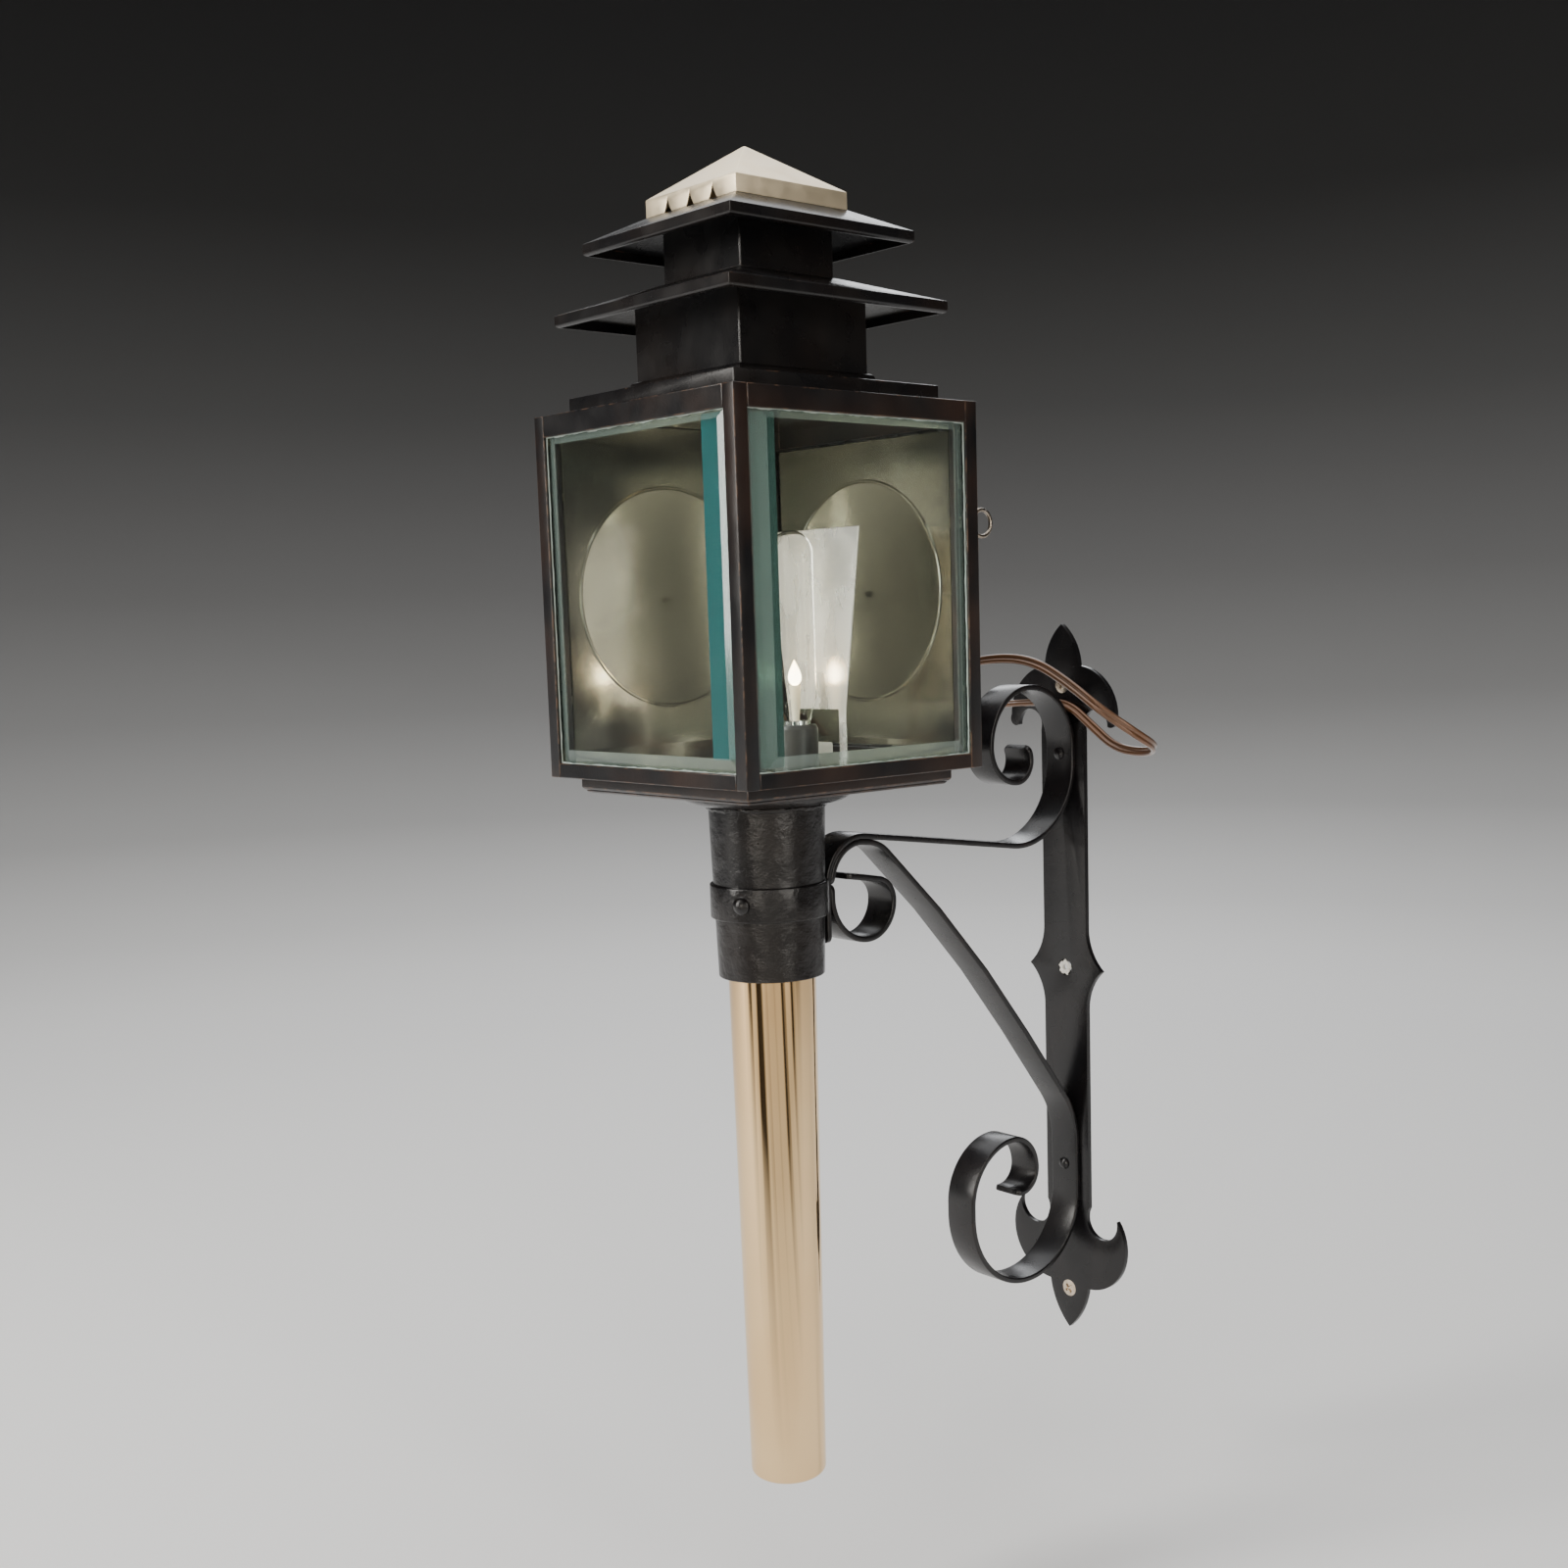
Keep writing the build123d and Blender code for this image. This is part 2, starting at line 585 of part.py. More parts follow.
def socket_ferrule():
    """Tapered round socket that takes the candle tube."""
    bore_top, bore_mouth = FERRULE_TOP_R - SHEET, FERRULE_MOUTH_R - SHEET
    shell = turned([(bore_mouth, FERRULE_MOUTH), (FERRULE_MOUTH_R, FERRULE_MOUTH),
                    (FERRULE_TOP_R, FERRULE_TOP), (bore_top, FERRULE_TOP)])
    return shell - band_screw_shank()


def spring_sleeve():
    """Slit sleeve soldered in the socket by its flange; it grips the candle tube."""
    bore = TUBE_R + TUBE_FIT
    outer = bore + SLEEVE_WALL
    top = FERRULE_TOP - 12.0
    bottom = top - SLEEVE_L
    flange_r = ferrule_radius(top - SHEET) - SHEET
    sleeve = turned([(bore, bottom), (outer, bottom), (outer, top - SHEET), (flange_r, top - SHEET),
                     (flange_r, top), (bore, top)])
    for index in range(SLEEVE_SLOTS):
        slot = block(-SLEEVE_SLOT_W / 2, SLEEVE_SLOT_W / 2, 0, 2 * outer, bottom - 1, top - 10)
        sleeve -= Pos(0, AXIS_Y, 0) * (Rot(0, 0, index * 360 / SLEEVE_SLOTS + 45) * slot)
    return sleeve


def candle_tube():
    """Brass tube, straight inside the socket and tapering below it, open at the top."""
    end = TUBE_BOTTOM + TUBE_CORNER_R
    inner_end = TUBE_END_R - TUBE_WALL
    return turned([(TUBE_END_R, end), (TUBE_R, FERRULE_MOUTH), (TUBE_R, TUBE_TOP), (TUBE_R - TUBE_WALL, TUBE_TOP),
                   (TUBE_R - TUBE_WALL, FERRULE_MOUTH), (inner_end, end)])


def tube_end_cap():
    """Pressed disc with a rounded rim that closes the candle tube."""
    end = TUBE_BOTTOM + TUBE_CORNER_R
    with BuildPart() as cap:
        with BuildSketch(Plane.XZ):
            with BuildLine():
                Line((0, TUBE_BOTTOM), (TUBE_END_R - TUBE_CORNER_R, TUBE_BOTTOM))
                RadiusArc((TUBE_END_R - TUBE_CORNER_R, TUBE_BOTTOM), (TUBE_END_R, end), -TUBE_CORNER_R)
                Line((TUBE_END_R, end), (TUBE_END_R - TUBE_WALL, end))
                Line((TUBE_END_R - TUBE_WALL, end), (TUBE_END_R - TUBE_CORNER_R, TUBE_BOTTOM + TUBE_WALL))
                Line((TUBE_END_R - TUBE_CORNER_R, TUBE_BOTTOM + TUBE_WALL), (0, TUBE_BOTTOM + TUBE_WALL))
                Line((0, TUBE_BOTTOM + TUBE_WALL), (0, TUBE_BOTTOM))
            make_face()
        revolve(axis=Axis.Z)
    return Pos(0, AXIS_Y, 0) * cap.part


# ---------------------------------------------------------------- case
def corner_post(side_x, side_y):
    """Angle at one corner of the case."""
    x, y = side_x * CASE_W / 2, AXIS_Y + side_y * CASE_D / 2
    post = block(x, x - side_x * POST_LEG, y, y - side_y * POST_LEG, CASE_Z, CASE_TOP)
    hollow = block(x - side_x * POST_T, x - side_x * (POST_LEG + 1), y - side_y * POST_T,
                   y - side_y * (POST_LEG + 1), CASE_Z - 1, CASE_TOP + 1)
    return post - hollow


def rail(side, z0, z1):
    """Flat rail between two corner posts."""
    if side in ("front", "rear"):
        y = FRONT_Y if side == "front" else REAR_Y
        inward = POST_T if side == "front" else -POST_T
        return block(LEFT_X + POST_LEG, RIGHT_X - POST_LEG, y, y + inward, z0, z1)
    x = LEFT_X if side == "left" else RIGHT_X
    inward = POST_T if side == "left" else -POST_T
    return block(x, x + inward, FRONT_Y + POST_LEG, REAR_Y - POST_LEG, z0, z1)


def case_plate(z0, z1):
    """Flat sheet that fills the case frame inside posts and rails."""
    inset = POST_T
    return block(LEFT_X + inset, RIGHT_X - inset, FRONT_Y + inset, REAR_Y - inset, z0, z1)


def case_floor():
    """Floor sheet, closed over the candle tube."""
    return case_plate(CASE_Z, FLOOR_Z)


def ceiling_plate():
    """Top sheet with the flue hole and a row of vent slots near the front and the right side."""
    plate = case_plate(CASE_TOP - SHEET, CASE_TOP)
    plate -= rod((0, AXIS_Y, CASE_TOP - 5), (0, AXIS_Y, CASE_TOP + 5), CHIMNEY_R - CHIMNEY_WALL)
    offset = 52.0
    for index in range(SLOT_COUNT):
        along = (index - (SLOT_COUNT - 1) / 2) * SLOT_PITCH
        for x, y, turn in ((along, AXIS_Y - offset, 20), (offset, AXIS_Y + along, 110)):
            slot = Rot(0, 0, turn) * Box(SLOT_LENGTH, SLOT_WIDTH, 6)
            plate -= Pos(x, y, CASE_TOP) * slot
    return plate


def base_tray():
    """Stepped tray under the case floor."""
    low = CASE_Z - TRAY_H
    outer = block(-TRAY_HALF, TRAY_HALF, AXIS_Y - TRAY_HALF, AXIS_Y + TRAY_HALF, low, CASE_Z)
    outer = chamfer(outer.edges().filter_by(Axis.Z, reverse=True).group_by(Axis.Z)[0], TRAY_CHAMFER)
    inner = TRAY_HALF - SHEET
    outer -= block(-inner, inner, AXIS_Y - inner, AXIS_Y + inner, low + SHEET, CASE_Z + 1)
    return outer - rod((0, AXIS_Y, low - 1), (0, AXIS_Y, low + 3), TUBE_R + 1.0)


def bevelled_pane(width, height):
    """Thick pane lying in the XY plane, bevelled round its upper face."""
    edge = Pos(0, 0, GLASS_EDGE_T / 2) * Box(width, height, GLASS_EDGE_T)
    low = Plane((0, 0, GLASS_EDGE_T)) * Rectangle(width, height)
    high = Plane((0, 0, GLASS_T)) * Rectangle(width - 2 * BEVEL_W, height - 2 * BEVEL_W)
    return edge + loft([low, high])


def front_glass():
    """Bevelled front pane, its bevel outwards."""
    height = PANE_TOP - PANE_BOTTOM
    plane = Plane(origin=(0, GLASS_BACK, (PANE_TOP + PANE_BOTTOM) / 2), x_dir=(1, 0, 0), z_dir=(0, -1, 0))
    return plane * bevelled_pane(2 * GLASS_RIGHT, height)


def side_glass():
    """Bevelled right-hand pane, its bevel outwards."""
    height = PANE_TOP - PANE_BOTTOM
    y0, y1 = GLASS_BACK + SEAT_GAP, INSIDE_REAR
    plane = Plane(origin=(GLASS_LEFT, (y0 + y1) / 2, (PANE_TOP + PANE_BOTTOM) / 2), x_dir=(0, 1, 0),
                  z_dir=(1, 0, 0))
    return plane * bevelled_pane(y1 - y0, height)


def front_glass_bead():
    """Square ring that holds the front pane from inside."""
    z0, z1 = PANE_BOTTOM, PANE_TOP
    x1 = GLASS_LEFT - SEAT_GAP
    ring = block(-x1, x1, GLASS_BACK, GLASS_BACK + BEAD, z0, z1)
    return ring - block(-x1 + BEAD, x1 - BEAD, GLASS_BACK - 1, GLASS_BACK + BEAD + 1, z0 + BEAD, z1 - BEAD)


def side_glass_bead():
    """Square ring that holds the side pane from inside."""
    z0, z1 = PANE_BOTTOM, PANE_TOP
    y0 = GLASS_BACK + BEAD + SEAT_GAP
    y1 = REAR_Y - POST_T - DOOR_LIP - 1.5
    ring = block(GLASS_LEFT - BEAD, GLASS_LEFT, y0, y1, z0, z1)
    return ring - block(GLASS_LEFT - BEAD - 1, GLASS_LEFT + 1, y0 + BEAD, y1 - BEAD, z0 + BEAD, z1 - BEAD)


def left_wall():
    """Sheet wall on the left side, with the gland's hole."""
    x0 = LEFT_X + POST_T
    wall = block(x0, x0 + SHEET, GLASS_BACK + SEAT_GAP, INSIDE_REAR, PANE_BOTTOM, PANE_TOP)
    return wall - gland_hole()


def gland_hole():
    """Hole for the cable gland's thread."""
    return rod((LEFT_X - 5, GLAND_Y, GLAND_Z), (LEFT_X + 15, GLAND_Y, GLAND_Z), RELIEF_R)


def reflector():
    """Square plate lying in the XY plane with a round dish sunk below it."""
    ball_r = (REFLECTOR_R**2 + REFLECTOR_DEPTH**2) / (2 * REFLECTOR_DEPTH)
    plate = Pos(0, 0, REFLECTOR_T / 2) * Box(REFLECTOR_W, REFLECTOR_H, REFLECTOR_T)
    plate -= Pos(0, 0, REFLECTOR_T / 2) * Cylinder(REFLECTOR_R, 4 * REFLECTOR_T)
    centre_z = ball_r - REFLECTOR_DEPTH
    outer = Pos(0, 0, centre_z) * Sphere(ball_r)
    inner = Pos(0, 0, centre_z + REFLECTOR_T) * Sphere(ball_r)
    zone = Pos(0, 0, -10 + REFLECTOR_T) * Cylinder(REFLECTOR_R, 20)
    return plate + ((outer - inner) & zone)


def stud_places():
    """Where the reflector's four stand-off studs are, in the plate's plane."""
    x, y = REFLECTOR_W / 2 - STUD_INSET, REFLECTOR_H / 2 - STUD_FROM_END
    return [(x, y), (-x, y), (x, -y), (-x, -y)]


def reflector_studs():
    """Four stand-off studs behind the reflector plate."""
    studs = []
    for x, y in stud_places():
        studs.append(Pos(x, y, -REFLECTOR_STAND / 2) * Cylinder(STUD_R, REFLECTOR_STAND))
    return Compound(children=studs)


SIDE_REFLECTOR_PLANE = Plane(origin=(LEFT_X + POST_T + SHEET + REFLECTOR_STAND, AXIS_Y, CASE_MID_Z),
                             x_dir=(0, 1, 0), z_dir=(1, 0, 0))
DOOR_REFLECTOR_PLANE = Plane(origin=(0, REAR_Y - POST_T - REFLECTOR_STAND, CASE_MID_Z),
                             x_dir=(1, 0, 0), z_dir=(0, -1, 0))


def rear_door():
    """Pan-shaped sheet door in the rear opening, with the catch's hole."""
    outer = block(DOOR_LEFT, DOOR_RIGHT, REAR_Y - DOOR_LIP, REAR_Y, DOOR_BOTTOM, DOOR_TOP)
    pan = block(DOOR_LEFT + SHEET, DOOR_RIGHT - SHEET, REAR_Y - DOOR_LIP - 1, REAR_Y - POST_T,
                DOOR_BOTTOM + SHEET, DOOR_TOP - SHEET)
    return outer - pan - rod((CATCH_X, REAR_Y - 10, CATCH_Z), (CATCH_X, REAR_Y + 10, CATCH_Z),
                             SPINDLE_R + SPINDLE_FIT)


def knuckle_spans(own):
    """Heights of the knuckles that belong to the case or to the door, on both hinges."""
    part_l = HINGE_L / 3
    spans = []
    for middle in HINGE_ZS:
        if own == "door":
            spans.append((middle - part_l / 2 + LEAF_GAP, middle + part_l / 2 - LEAF_GAP))
        else:
            spans.append((middle - HINGE_L / 2, middle - part_l / 2))
            spans.append((middle + part_l / 2, middle + HINGE_L / 2))
    return spans


def hinge_leaf(own, middle):
    """One hinge leaf with its own knuckles, bored for the pin."""
    side = 1 if own == "door" else -1
    reach = DOOR_LEAF_W if own == "door" else CASE_LEAF_W
    near = KNUCKLE_R + 2 * LEAF_GAP
    leaf = block(PIVOT_X + side * near, PIVOT_X + side * reach, REAR_Y, REAR_Y + LEAF_T,
                 middle - HINGE_L / 2, middle + HINGE_L / 2)
    for z0, z1 in knuckle_spans(own):
        if abs((z0 + z1) / 2 - middle) < HINGE_L:
            neck_x = 0.6 if own == "door" else 0.0
            leaf += rod((PIVOT_X, PIVOT_Y, z0), (PIVOT_X, PIVOT_Y, z1), KNUCKLE_R)
            leaf += block(PIVOT_X + side * neck_x, PIVOT_X + side * (near + 0.5), REAR_Y,
                          REAR_Y + EDGE_GAP + 1.2, z0, z1)
    return leaf - rod((PIVOT_X, PIVOT_Y, middle - HINGE_L), (PIVOT_X, PIVOT_Y, middle + HINGE_L),
                      HINGE_PIN_R + HINGE_FIT)


def hinge_leaves(own):
    """The case's or the door's leaves of both hinges."""
    return Compound(children=[hinge_leaf(own, middle) for middle in HINGE_ZS])


def hinge_pins():
    """Headed pins of both hinges."""
    pins = []
    for middle in HINGE_ZS:
        top = middle + HINGE_L / 2
        pin = rod((PIVOT_X, PIVOT_Y, middle - HINGE_L / 2), (PIVOT_X, PIVOT_Y, top), HINGE_PIN_R)
        pins.append(pin + dome_head((PIVOT_X, PIVOT_Y, top), (0, 0, 1), KNUCKLE_R - 0.3, 1.4))
    return Compound(children=pins)


def catch_plate():
    """Strip on the outside of the door that carries the catch's spindle."""
    z0, z1 = CATCH_Z - CATCH_BELOW, CATCH_Z + CATCH_ABOVE
    strip = block(CATCH_X - CATCH_PLATE_W / 2, CATCH_X + CATCH_PLATE_W / 2, REAR_Y, REAR_Y + CATCH_PLATE_T, z0, z1)
    strip = fillet(strip.edges().filter_by(Axis.Y), 2.5)
    for z in (z0 + 5.0, z1 - 4.5):
        strip += dome_head((CATCH_X, REAR_Y + CATCH_PLATE_T, z), (0, 1, 0), 1.9, 1.0)
    return strip - rod((CATCH_X, REAR_Y - 1, CATCH_Z), (CATCH_X, REAR_Y + 9, CATCH_Z), SPINDLE_R + SPINDLE_FIT)


def catch_spindle():
    """Spindle through the door, with a collar outside."""
    inner = REAR_Y - POST_T - 2 * TONGUE_T
    outer = REAR_Y + CATCH_PLATE_T + SPINDLE_OUT
    spindle = rod((CATCH_X, inner, CATCH_Z), (CATCH_X, outer, CATCH_Z), SPINDLE_R)
    collar_y = REAR_Y + CATCH_PLATE_T + 0.15
    collar = rod((CATCH_X, collar_y, CATCH_Z), (CATCH_X, collar_y + 1.2, CATCH_Z), COLLAR_R)
    return spindle + collar


def catch_tongue():
    """Flat tongue inside the door; it lies level when shut and upright when turned a quarter."""
    y1 = REAR_Y - POST_T - 0.3
    y0 = y1 - TONGUE_T
    tongue = block(CATCH_X - TONGUE_W / 2, CATCH_X + 6.3, y0, y1, CATCH_Z - TONGUE_W / 2, CATCH_Z + TONGUE_W / 2)
    tail = block(CATCH_X - TONGUE_L + 6.3, CATCH_X, y0, y1, CATCH_Z - TONGUE_W / 2, CATCH_Z + TONGUE_W / 2)
    hole = rod((CATCH_X, y0 - 1, CATCH_Z), (CATCH_X, y1 + 1, CATCH_Z), SPINDLE_R)
    return tongue + tail - hole


def pull_loop():
    """Teardrop wire loop on the end of the spindle."""
    start_y = REAR_Y + CATCH_PLATE_T + SPINDLE_OUT
    ring_r = LOOP_H / 2 - LOOP_WIRE_R
    ring_y = start_y + LOOP_L - LOOP_WIRE_R - ring_r
    lead = ring_y - start_y
    touch = sqrt(lead**2 - ring_r**2)
    lean = atan2(ring_r, touch)
    touch_y = start_y + touch * cos(lean)
    touch_z = touch * sin(lean)
    wire_path = Wire([
        Edge.make_three_point_arc((CATCH_X, ring_y + ring_r, CATCH_Z),
                                  (CATCH_X, ring_y + ring_r * cos(radians(60)), CATCH_Z + ring_r * sin(radians(60))),
                                  (CATCH_X, touch_y, CATCH_Z + touch_z)),
        Edge.make_line((CATCH_X, touch_y, CATCH_Z + touch_z), (CATCH_X, start_y, CATCH_Z)),
    ])
    start = Plane(origin=(CATCH_X, ring_y + ring_r, CATCH_Z), z_dir=(0, 0, 1))
    upper = sweep(start * Circle(LOOP_WIRE_R), path=wire_path)
    lower = mirror(upper, Plane(origin=(0, 0, CATCH_Z), z_dir=(0, 0, 1)))
    joint = Pos(CATCH_X, start_y + 0.6, CATCH_Z) * Sphere(SPINDLE_R)
    flat = block(CATCH_X - 5, CATCH_X + 5, start_y - 5, start_y, CATCH_Z - 5, CATCH_Z + 5)
    return upper + lower + joint - flat


# ---------------------------------------------------------------- roof
def roof_pan():
    """Low hipped pan on top of the case."""
    z0 = CASE_TOP
    z1 = z0 + ROOF_EDGE_H
    z2 = z1 + ROOF_RISE
    neck = LOWER_NECK_HALF
    shell = square_frustum(ROOF_HALF, z0, ROOF_HALF, z1) + square_frustum(ROOF_HALF, z1, neck + BEAD_R, z2)
    inside = square_frustum(ROOF_HALF - SHEET, z0 - 1, ROOF_HALF - SHEET, z1 - SHEET)
    inside += square_frustum(ROOF_HALF - SHEET, z1 - SHEET, neck + BEAD_R - SHEET, z2 - SHEET)
    hole = block(-neck, neck, AXIS_Y - neck, AXIS_Y + neck, z0 - 1, z2 + 1)
    return shell - inside - hole


def louvre_underside(half, edge_z, rise, top_half, at_half):
    """Height of a louvre's underside at a distance from the lantern axis."""
    low = CASE_TOP + edge_z + LOUVRE_EDGE_H - SHEET
    high = CASE_TOP + edge_z + rise - SHEET
    inner = half - LOUVRE_EDGE_T
    share = (inner - at_half) / (inner - top_half + SHEET)
    return low + min(1.0, share) * (high - low)


def lower_neck():
    """Square tube between roof pan and lower louvre."""
    top = louvre_underside(LOWER_LOUVRE_HALF, LOWER_LOUVRE_EDGE_Z, LOWER_LOUVRE_RISE, UPPER_NECK_HALF + 1.5,
                           LOWER_NECK_HALF)
    foot = CASE_TOP + ROOF_EDGE_H + ROOF_RISE - NECK_LAP
    return square_tube(LOWER_NECK_HALF, SHEET, foot, top + NECK_BITE)


def neck_bead():
    """Half-round moulding round the foot of the lower neck."""
    z = CASE_TOP + ROOF_EDGE_H + ROOF_RISE + BEAD_R
    outer = LOWER_NECK_HALF + BEAD_R
    ring = block(-outer, outer, AXIS_Y - outer, AXIS_Y + outer, z - BEAD_R, z + BEAD_R)
    ring = fillet(ring.edges().filter_by(Axis.Z, reverse=True), BEAD_R * 0.9)
    inner = LOWER_NECK_HALF
    return ring - block(-inner, inner, AXIS_Y - inner, AXIS_Y + inner, z - 9, z + 9)


def louvre(half, edge_z, rise, hole_half, top_half):
    """Hipped louvre sheet with a rolled edge and a square hole round the flue."""
    z0 = CASE_TOP + edge_z
    lip = z0 + LOUVRE_EDGE_H
    z1 = z0 + rise
    shell = square_frustum(half, z0, half, lip) + square_frustum(half, lip, top_half, z1)
    shell = fillet(shell.edges().group_by(Axis.Z)[0], LOUVRE_EDGE_T * 0.9)
    inner = half - LOUVRE_EDGE_T
    hollow = square_frustum(inner, z0 - 1, inner, lip - SHEET)
    hollow += square_frustum(inner, lip - SHEET, top_half - SHEET, z1 - SHEET)
    hole = block(-hole_half, hole_half, AXIS_Y - hole_half, AXIS_Y + hole_half, z0 - 1, z1 + 1)
    return shell - hollow - hole


def lower_louvre():
    """Lower and wider of the two louvres."""
    return louvre(LOWER_LOUVRE_HALF, LOWER_LOUVRE_EDGE_Z, LOWER_LOUVRE_RISE, CHIMNEY_R + FLUE_GAP,
                  UPPER_NECK_HALF + 1.5)


def upper_louvre():
    """Upper louvre, under the brass cap."""
    return louvre(UPPER_LOUVRE_HALF, UPPER_LOUVRE_EDGE_Z, UPPER_LOUVRE_RISE, CHIMNEY_R + FLUE_GAP, CAP_HALF)


def upper_neck():
    """Square tube between the two louvres."""
    z0 = CASE_TOP + LOWER_LOUVRE_EDGE_Z + LOWER_LOUVRE_RISE
    top = louvre_underside(UPPER_LOUVRE_HALF, UPPER_LOUVRE_EDGE_Z, UPPER_LOUVRE_RISE, CAP_HALF, UPPER_NECK_HALF)
    return square_tube(UPPER_NECK_HALF, SHEET, z0, top)


def vent_cap():
    """Brass pyramid cap with bell-shaped notches in the front and rear of its skirt."""
    z0 = CASE_TOP + UPPER_LOUVRE_EDGE_Z + UPPER_LOUVRE_RISE
    z1 = z0 + CAP_SKIRT
    z2 = z1 + CAP_RISE
    tip = 0.6
    skirt = square_frustum(CAP_HALF, z0, CAP_HALF, z1)
    cap = skirt + square_frustum(CAP_HALF, z1, tip, z2)
    inner = CAP_HALF - CAP_WALL
    hollow = square_frustum(inner, z0 - 1, inner, z1 - CAP_WALL * 0.4)
    hollow += square_frustum(inner, z1 - CAP_WALL * 0.4, tip * 0.5, z2 - CAP_WALL * 1.6)
    cap -= hollow
    half_w = VENT_NOTCH_W / 2
    bell = make_face(
        Curve() + [
            Line((-half_w, -1), (half_w, -1)),
            Line((half_w, -1), (half_w, 0)),
            ThreePointArc((half_w, 0), (half_w * 0.42, VENT_NOTCH_H * 0.45), (0, VENT_NOTCH_H)),
            ThreePointArc((0, VENT_NOTCH_H), (-half_w * 0.42, VENT_NOTCH_H * 0.45), (-half_w, 0)),
            Line((-half_w, 0), (-half_w, -1)),
        ]
    )
    for index in range(VENT_NOTCHES):
        x = (index - (VENT_NOTCHES - 1) / 2) * 2 * CAP_HALF / (VENT_NOTCHES + 1)
        through = Plane(origin=(x, AXIS_Y - 1.5 * CAP_HALF, z0), x_dir=(1, 0, 0), z_dir=(0, 1, 0))
        cap -= extrude(through * mirror(bell, Plane.XZ), 3 * CAP_HALF)
    return cap


def inner_chimney():
    """Round flue from the ceiling up through both necks."""
    top = CASE_TOP + UPPER_LOUVRE_EDGE_Z - 6.0
    inner = CHIMNEY_R - CHIMNEY_WALL
    return turned([(inner, CASE_TOP), (CHIMNEY_R, CASE_TOP), (CHIMNEY_R, top), (inner, top)])


# ---------------------------------------------------------------- lamp
def lamp_screw_places():
    """Centres of the two screws that hold the lamp's base."""
    return [(LAMP_X + 9.8, LAMP_Y + 6.5), (LAMP_X + 9.8, LAMP_Y - 6.5)]


def lampholder_base():
    """Base disc of the lampholder on the case floor."""
    disc = Pos(LAMP_X, LAMP_Y, FLOOR_Z + LAMP_BASE_T / 2) * Cylinder(LAMP_BASE_R, LAMP_BASE_T)
    return disc


def lampholder_screws():
    """Two round-head screws on the base disc."""
    seat = FLOOR_Z + LAMP_BASE_T
    heads = [dome_head((x, y, seat), (0, 0, 1), LAMP_SCREW_R, LAMP_SCREW_HEAD_H) for x, y in lamp_screw_places()]
    return Compound(children=heads)


def lampholder():
    """Round lampholder cup."""
    z0 = FLOOR_Z + LAMP_BASE_T
    z1 = z0 + HOLDER_H
    return turned([(0, z0), (HOLDER_BORE_R + 0.8, z0), (HOLDER_BORE_R + 0.8, z0 + 3.0), (HOLDER_R - 1.0, z0 + 5.0),
                   (HOLDER_R - 1.0, z1 - 2.0), (HOLDER_R - 2.0, z1), (HOLDER_BORE_R, z1),
                   (HOLDER_BORE_R, z0 + 2.5), (0, z0 + 2.5)], LAMP_X, LAMP_Y)


def bulb_cap():
    """Metal cap of the bulb inside the lampholder."""
    z0 = FLOOR_Z + LAMP_BASE_T + 2.5
    z1 = FLOOR_Z + LAMP_BASE_T + HOLDER_H + 2.0
    return turned([(0, z0), (2.6, z0), (BULB_CAP_R - 0.8, z0 + 2.6), (BULB_CAP_R, z0 + 4.0), (BULB_CAP_R, z1),
                   (0, z1)], LAMP_X, LAMP_Y)


def bulb_glass():
    """Clear tubular bulb with a round top and a narrow neck, open at the neck."""
    z0 = FLOOR_Z + LAMP_BASE_T + HOLDER_H + 2.0
    shoulder = z0 + 13.0
    dome_z = z0 + BULB_H - BULB_R

    def outline(inset):
        radius, neck = BULB_R - inset, BULB_NECK_R - inset
        crown = sqrt(0.5) * radius
        return [
            Spline([(neck, 0, z0), (radius, 0, shoulder)], tangents=[(0, 0, 1), (0, 0, 1)]),
            Line((radius, 0, shoulder), (radius, 0, dome_z)),
            ThreePointArc((radius, 0, dome_z), (crown, 0, dome_z + crown), (0, 0, dome_z + radius)),
        ]

    outer, inner = outline(0.0), outline(BULB_WALL)
    foot = Line((BULB_NECK_R, 0, z0), (BULB_NECK_R - BULB_WALL, 0, z0))
    top = Line((0, 0, dome_z + BULB_R), (0, 0, dome_z + BULB_R - BULB_WALL))
    wall = make_face(Curve() + outer + inner + [foot, top])
    return Pos(LAMP_X, LAMP_Y, 0) * revolve(wall, Axis.Z)


def flame_stem():
    """Tapered pale stick that carries the flame."""
    z0 = FLOOR_Z + LAMP_BASE_T + HOLDER_H + 2.0
    return turned([(0, z0), (WICK_FOOT_R, z0), (WICK_TOP_R, z0 + WICK_H), (0, z0 + WICK_H)], LAMP_X, LAMP_Y)


def flame_diffuser():
    """Egg-shaped glowing flame on top of the stick."""
    z0 = FLOOR_Z + LAMP_BASE_T + HOLDER_H + 2.0 + WICK_H
    belly = z0 + FLAME_H * 0.36
    side = Spline([(WICK_TOP_R * 0.6, 0, z0), (FLAME_R, 0, belly), (0, 0, z0 + FLAME_H)])
    lower = Line((0, 0, z0), (WICK_TOP_R * 0.6, 0, z0))
    spine = Line((0, 0, z0 + FLAME_H), (0, 0, z0))
    return Pos(LAMP_X, LAMP_Y, 0) * revolve(make_face(Curve() + [lower, side, spine]), Axis.Z)


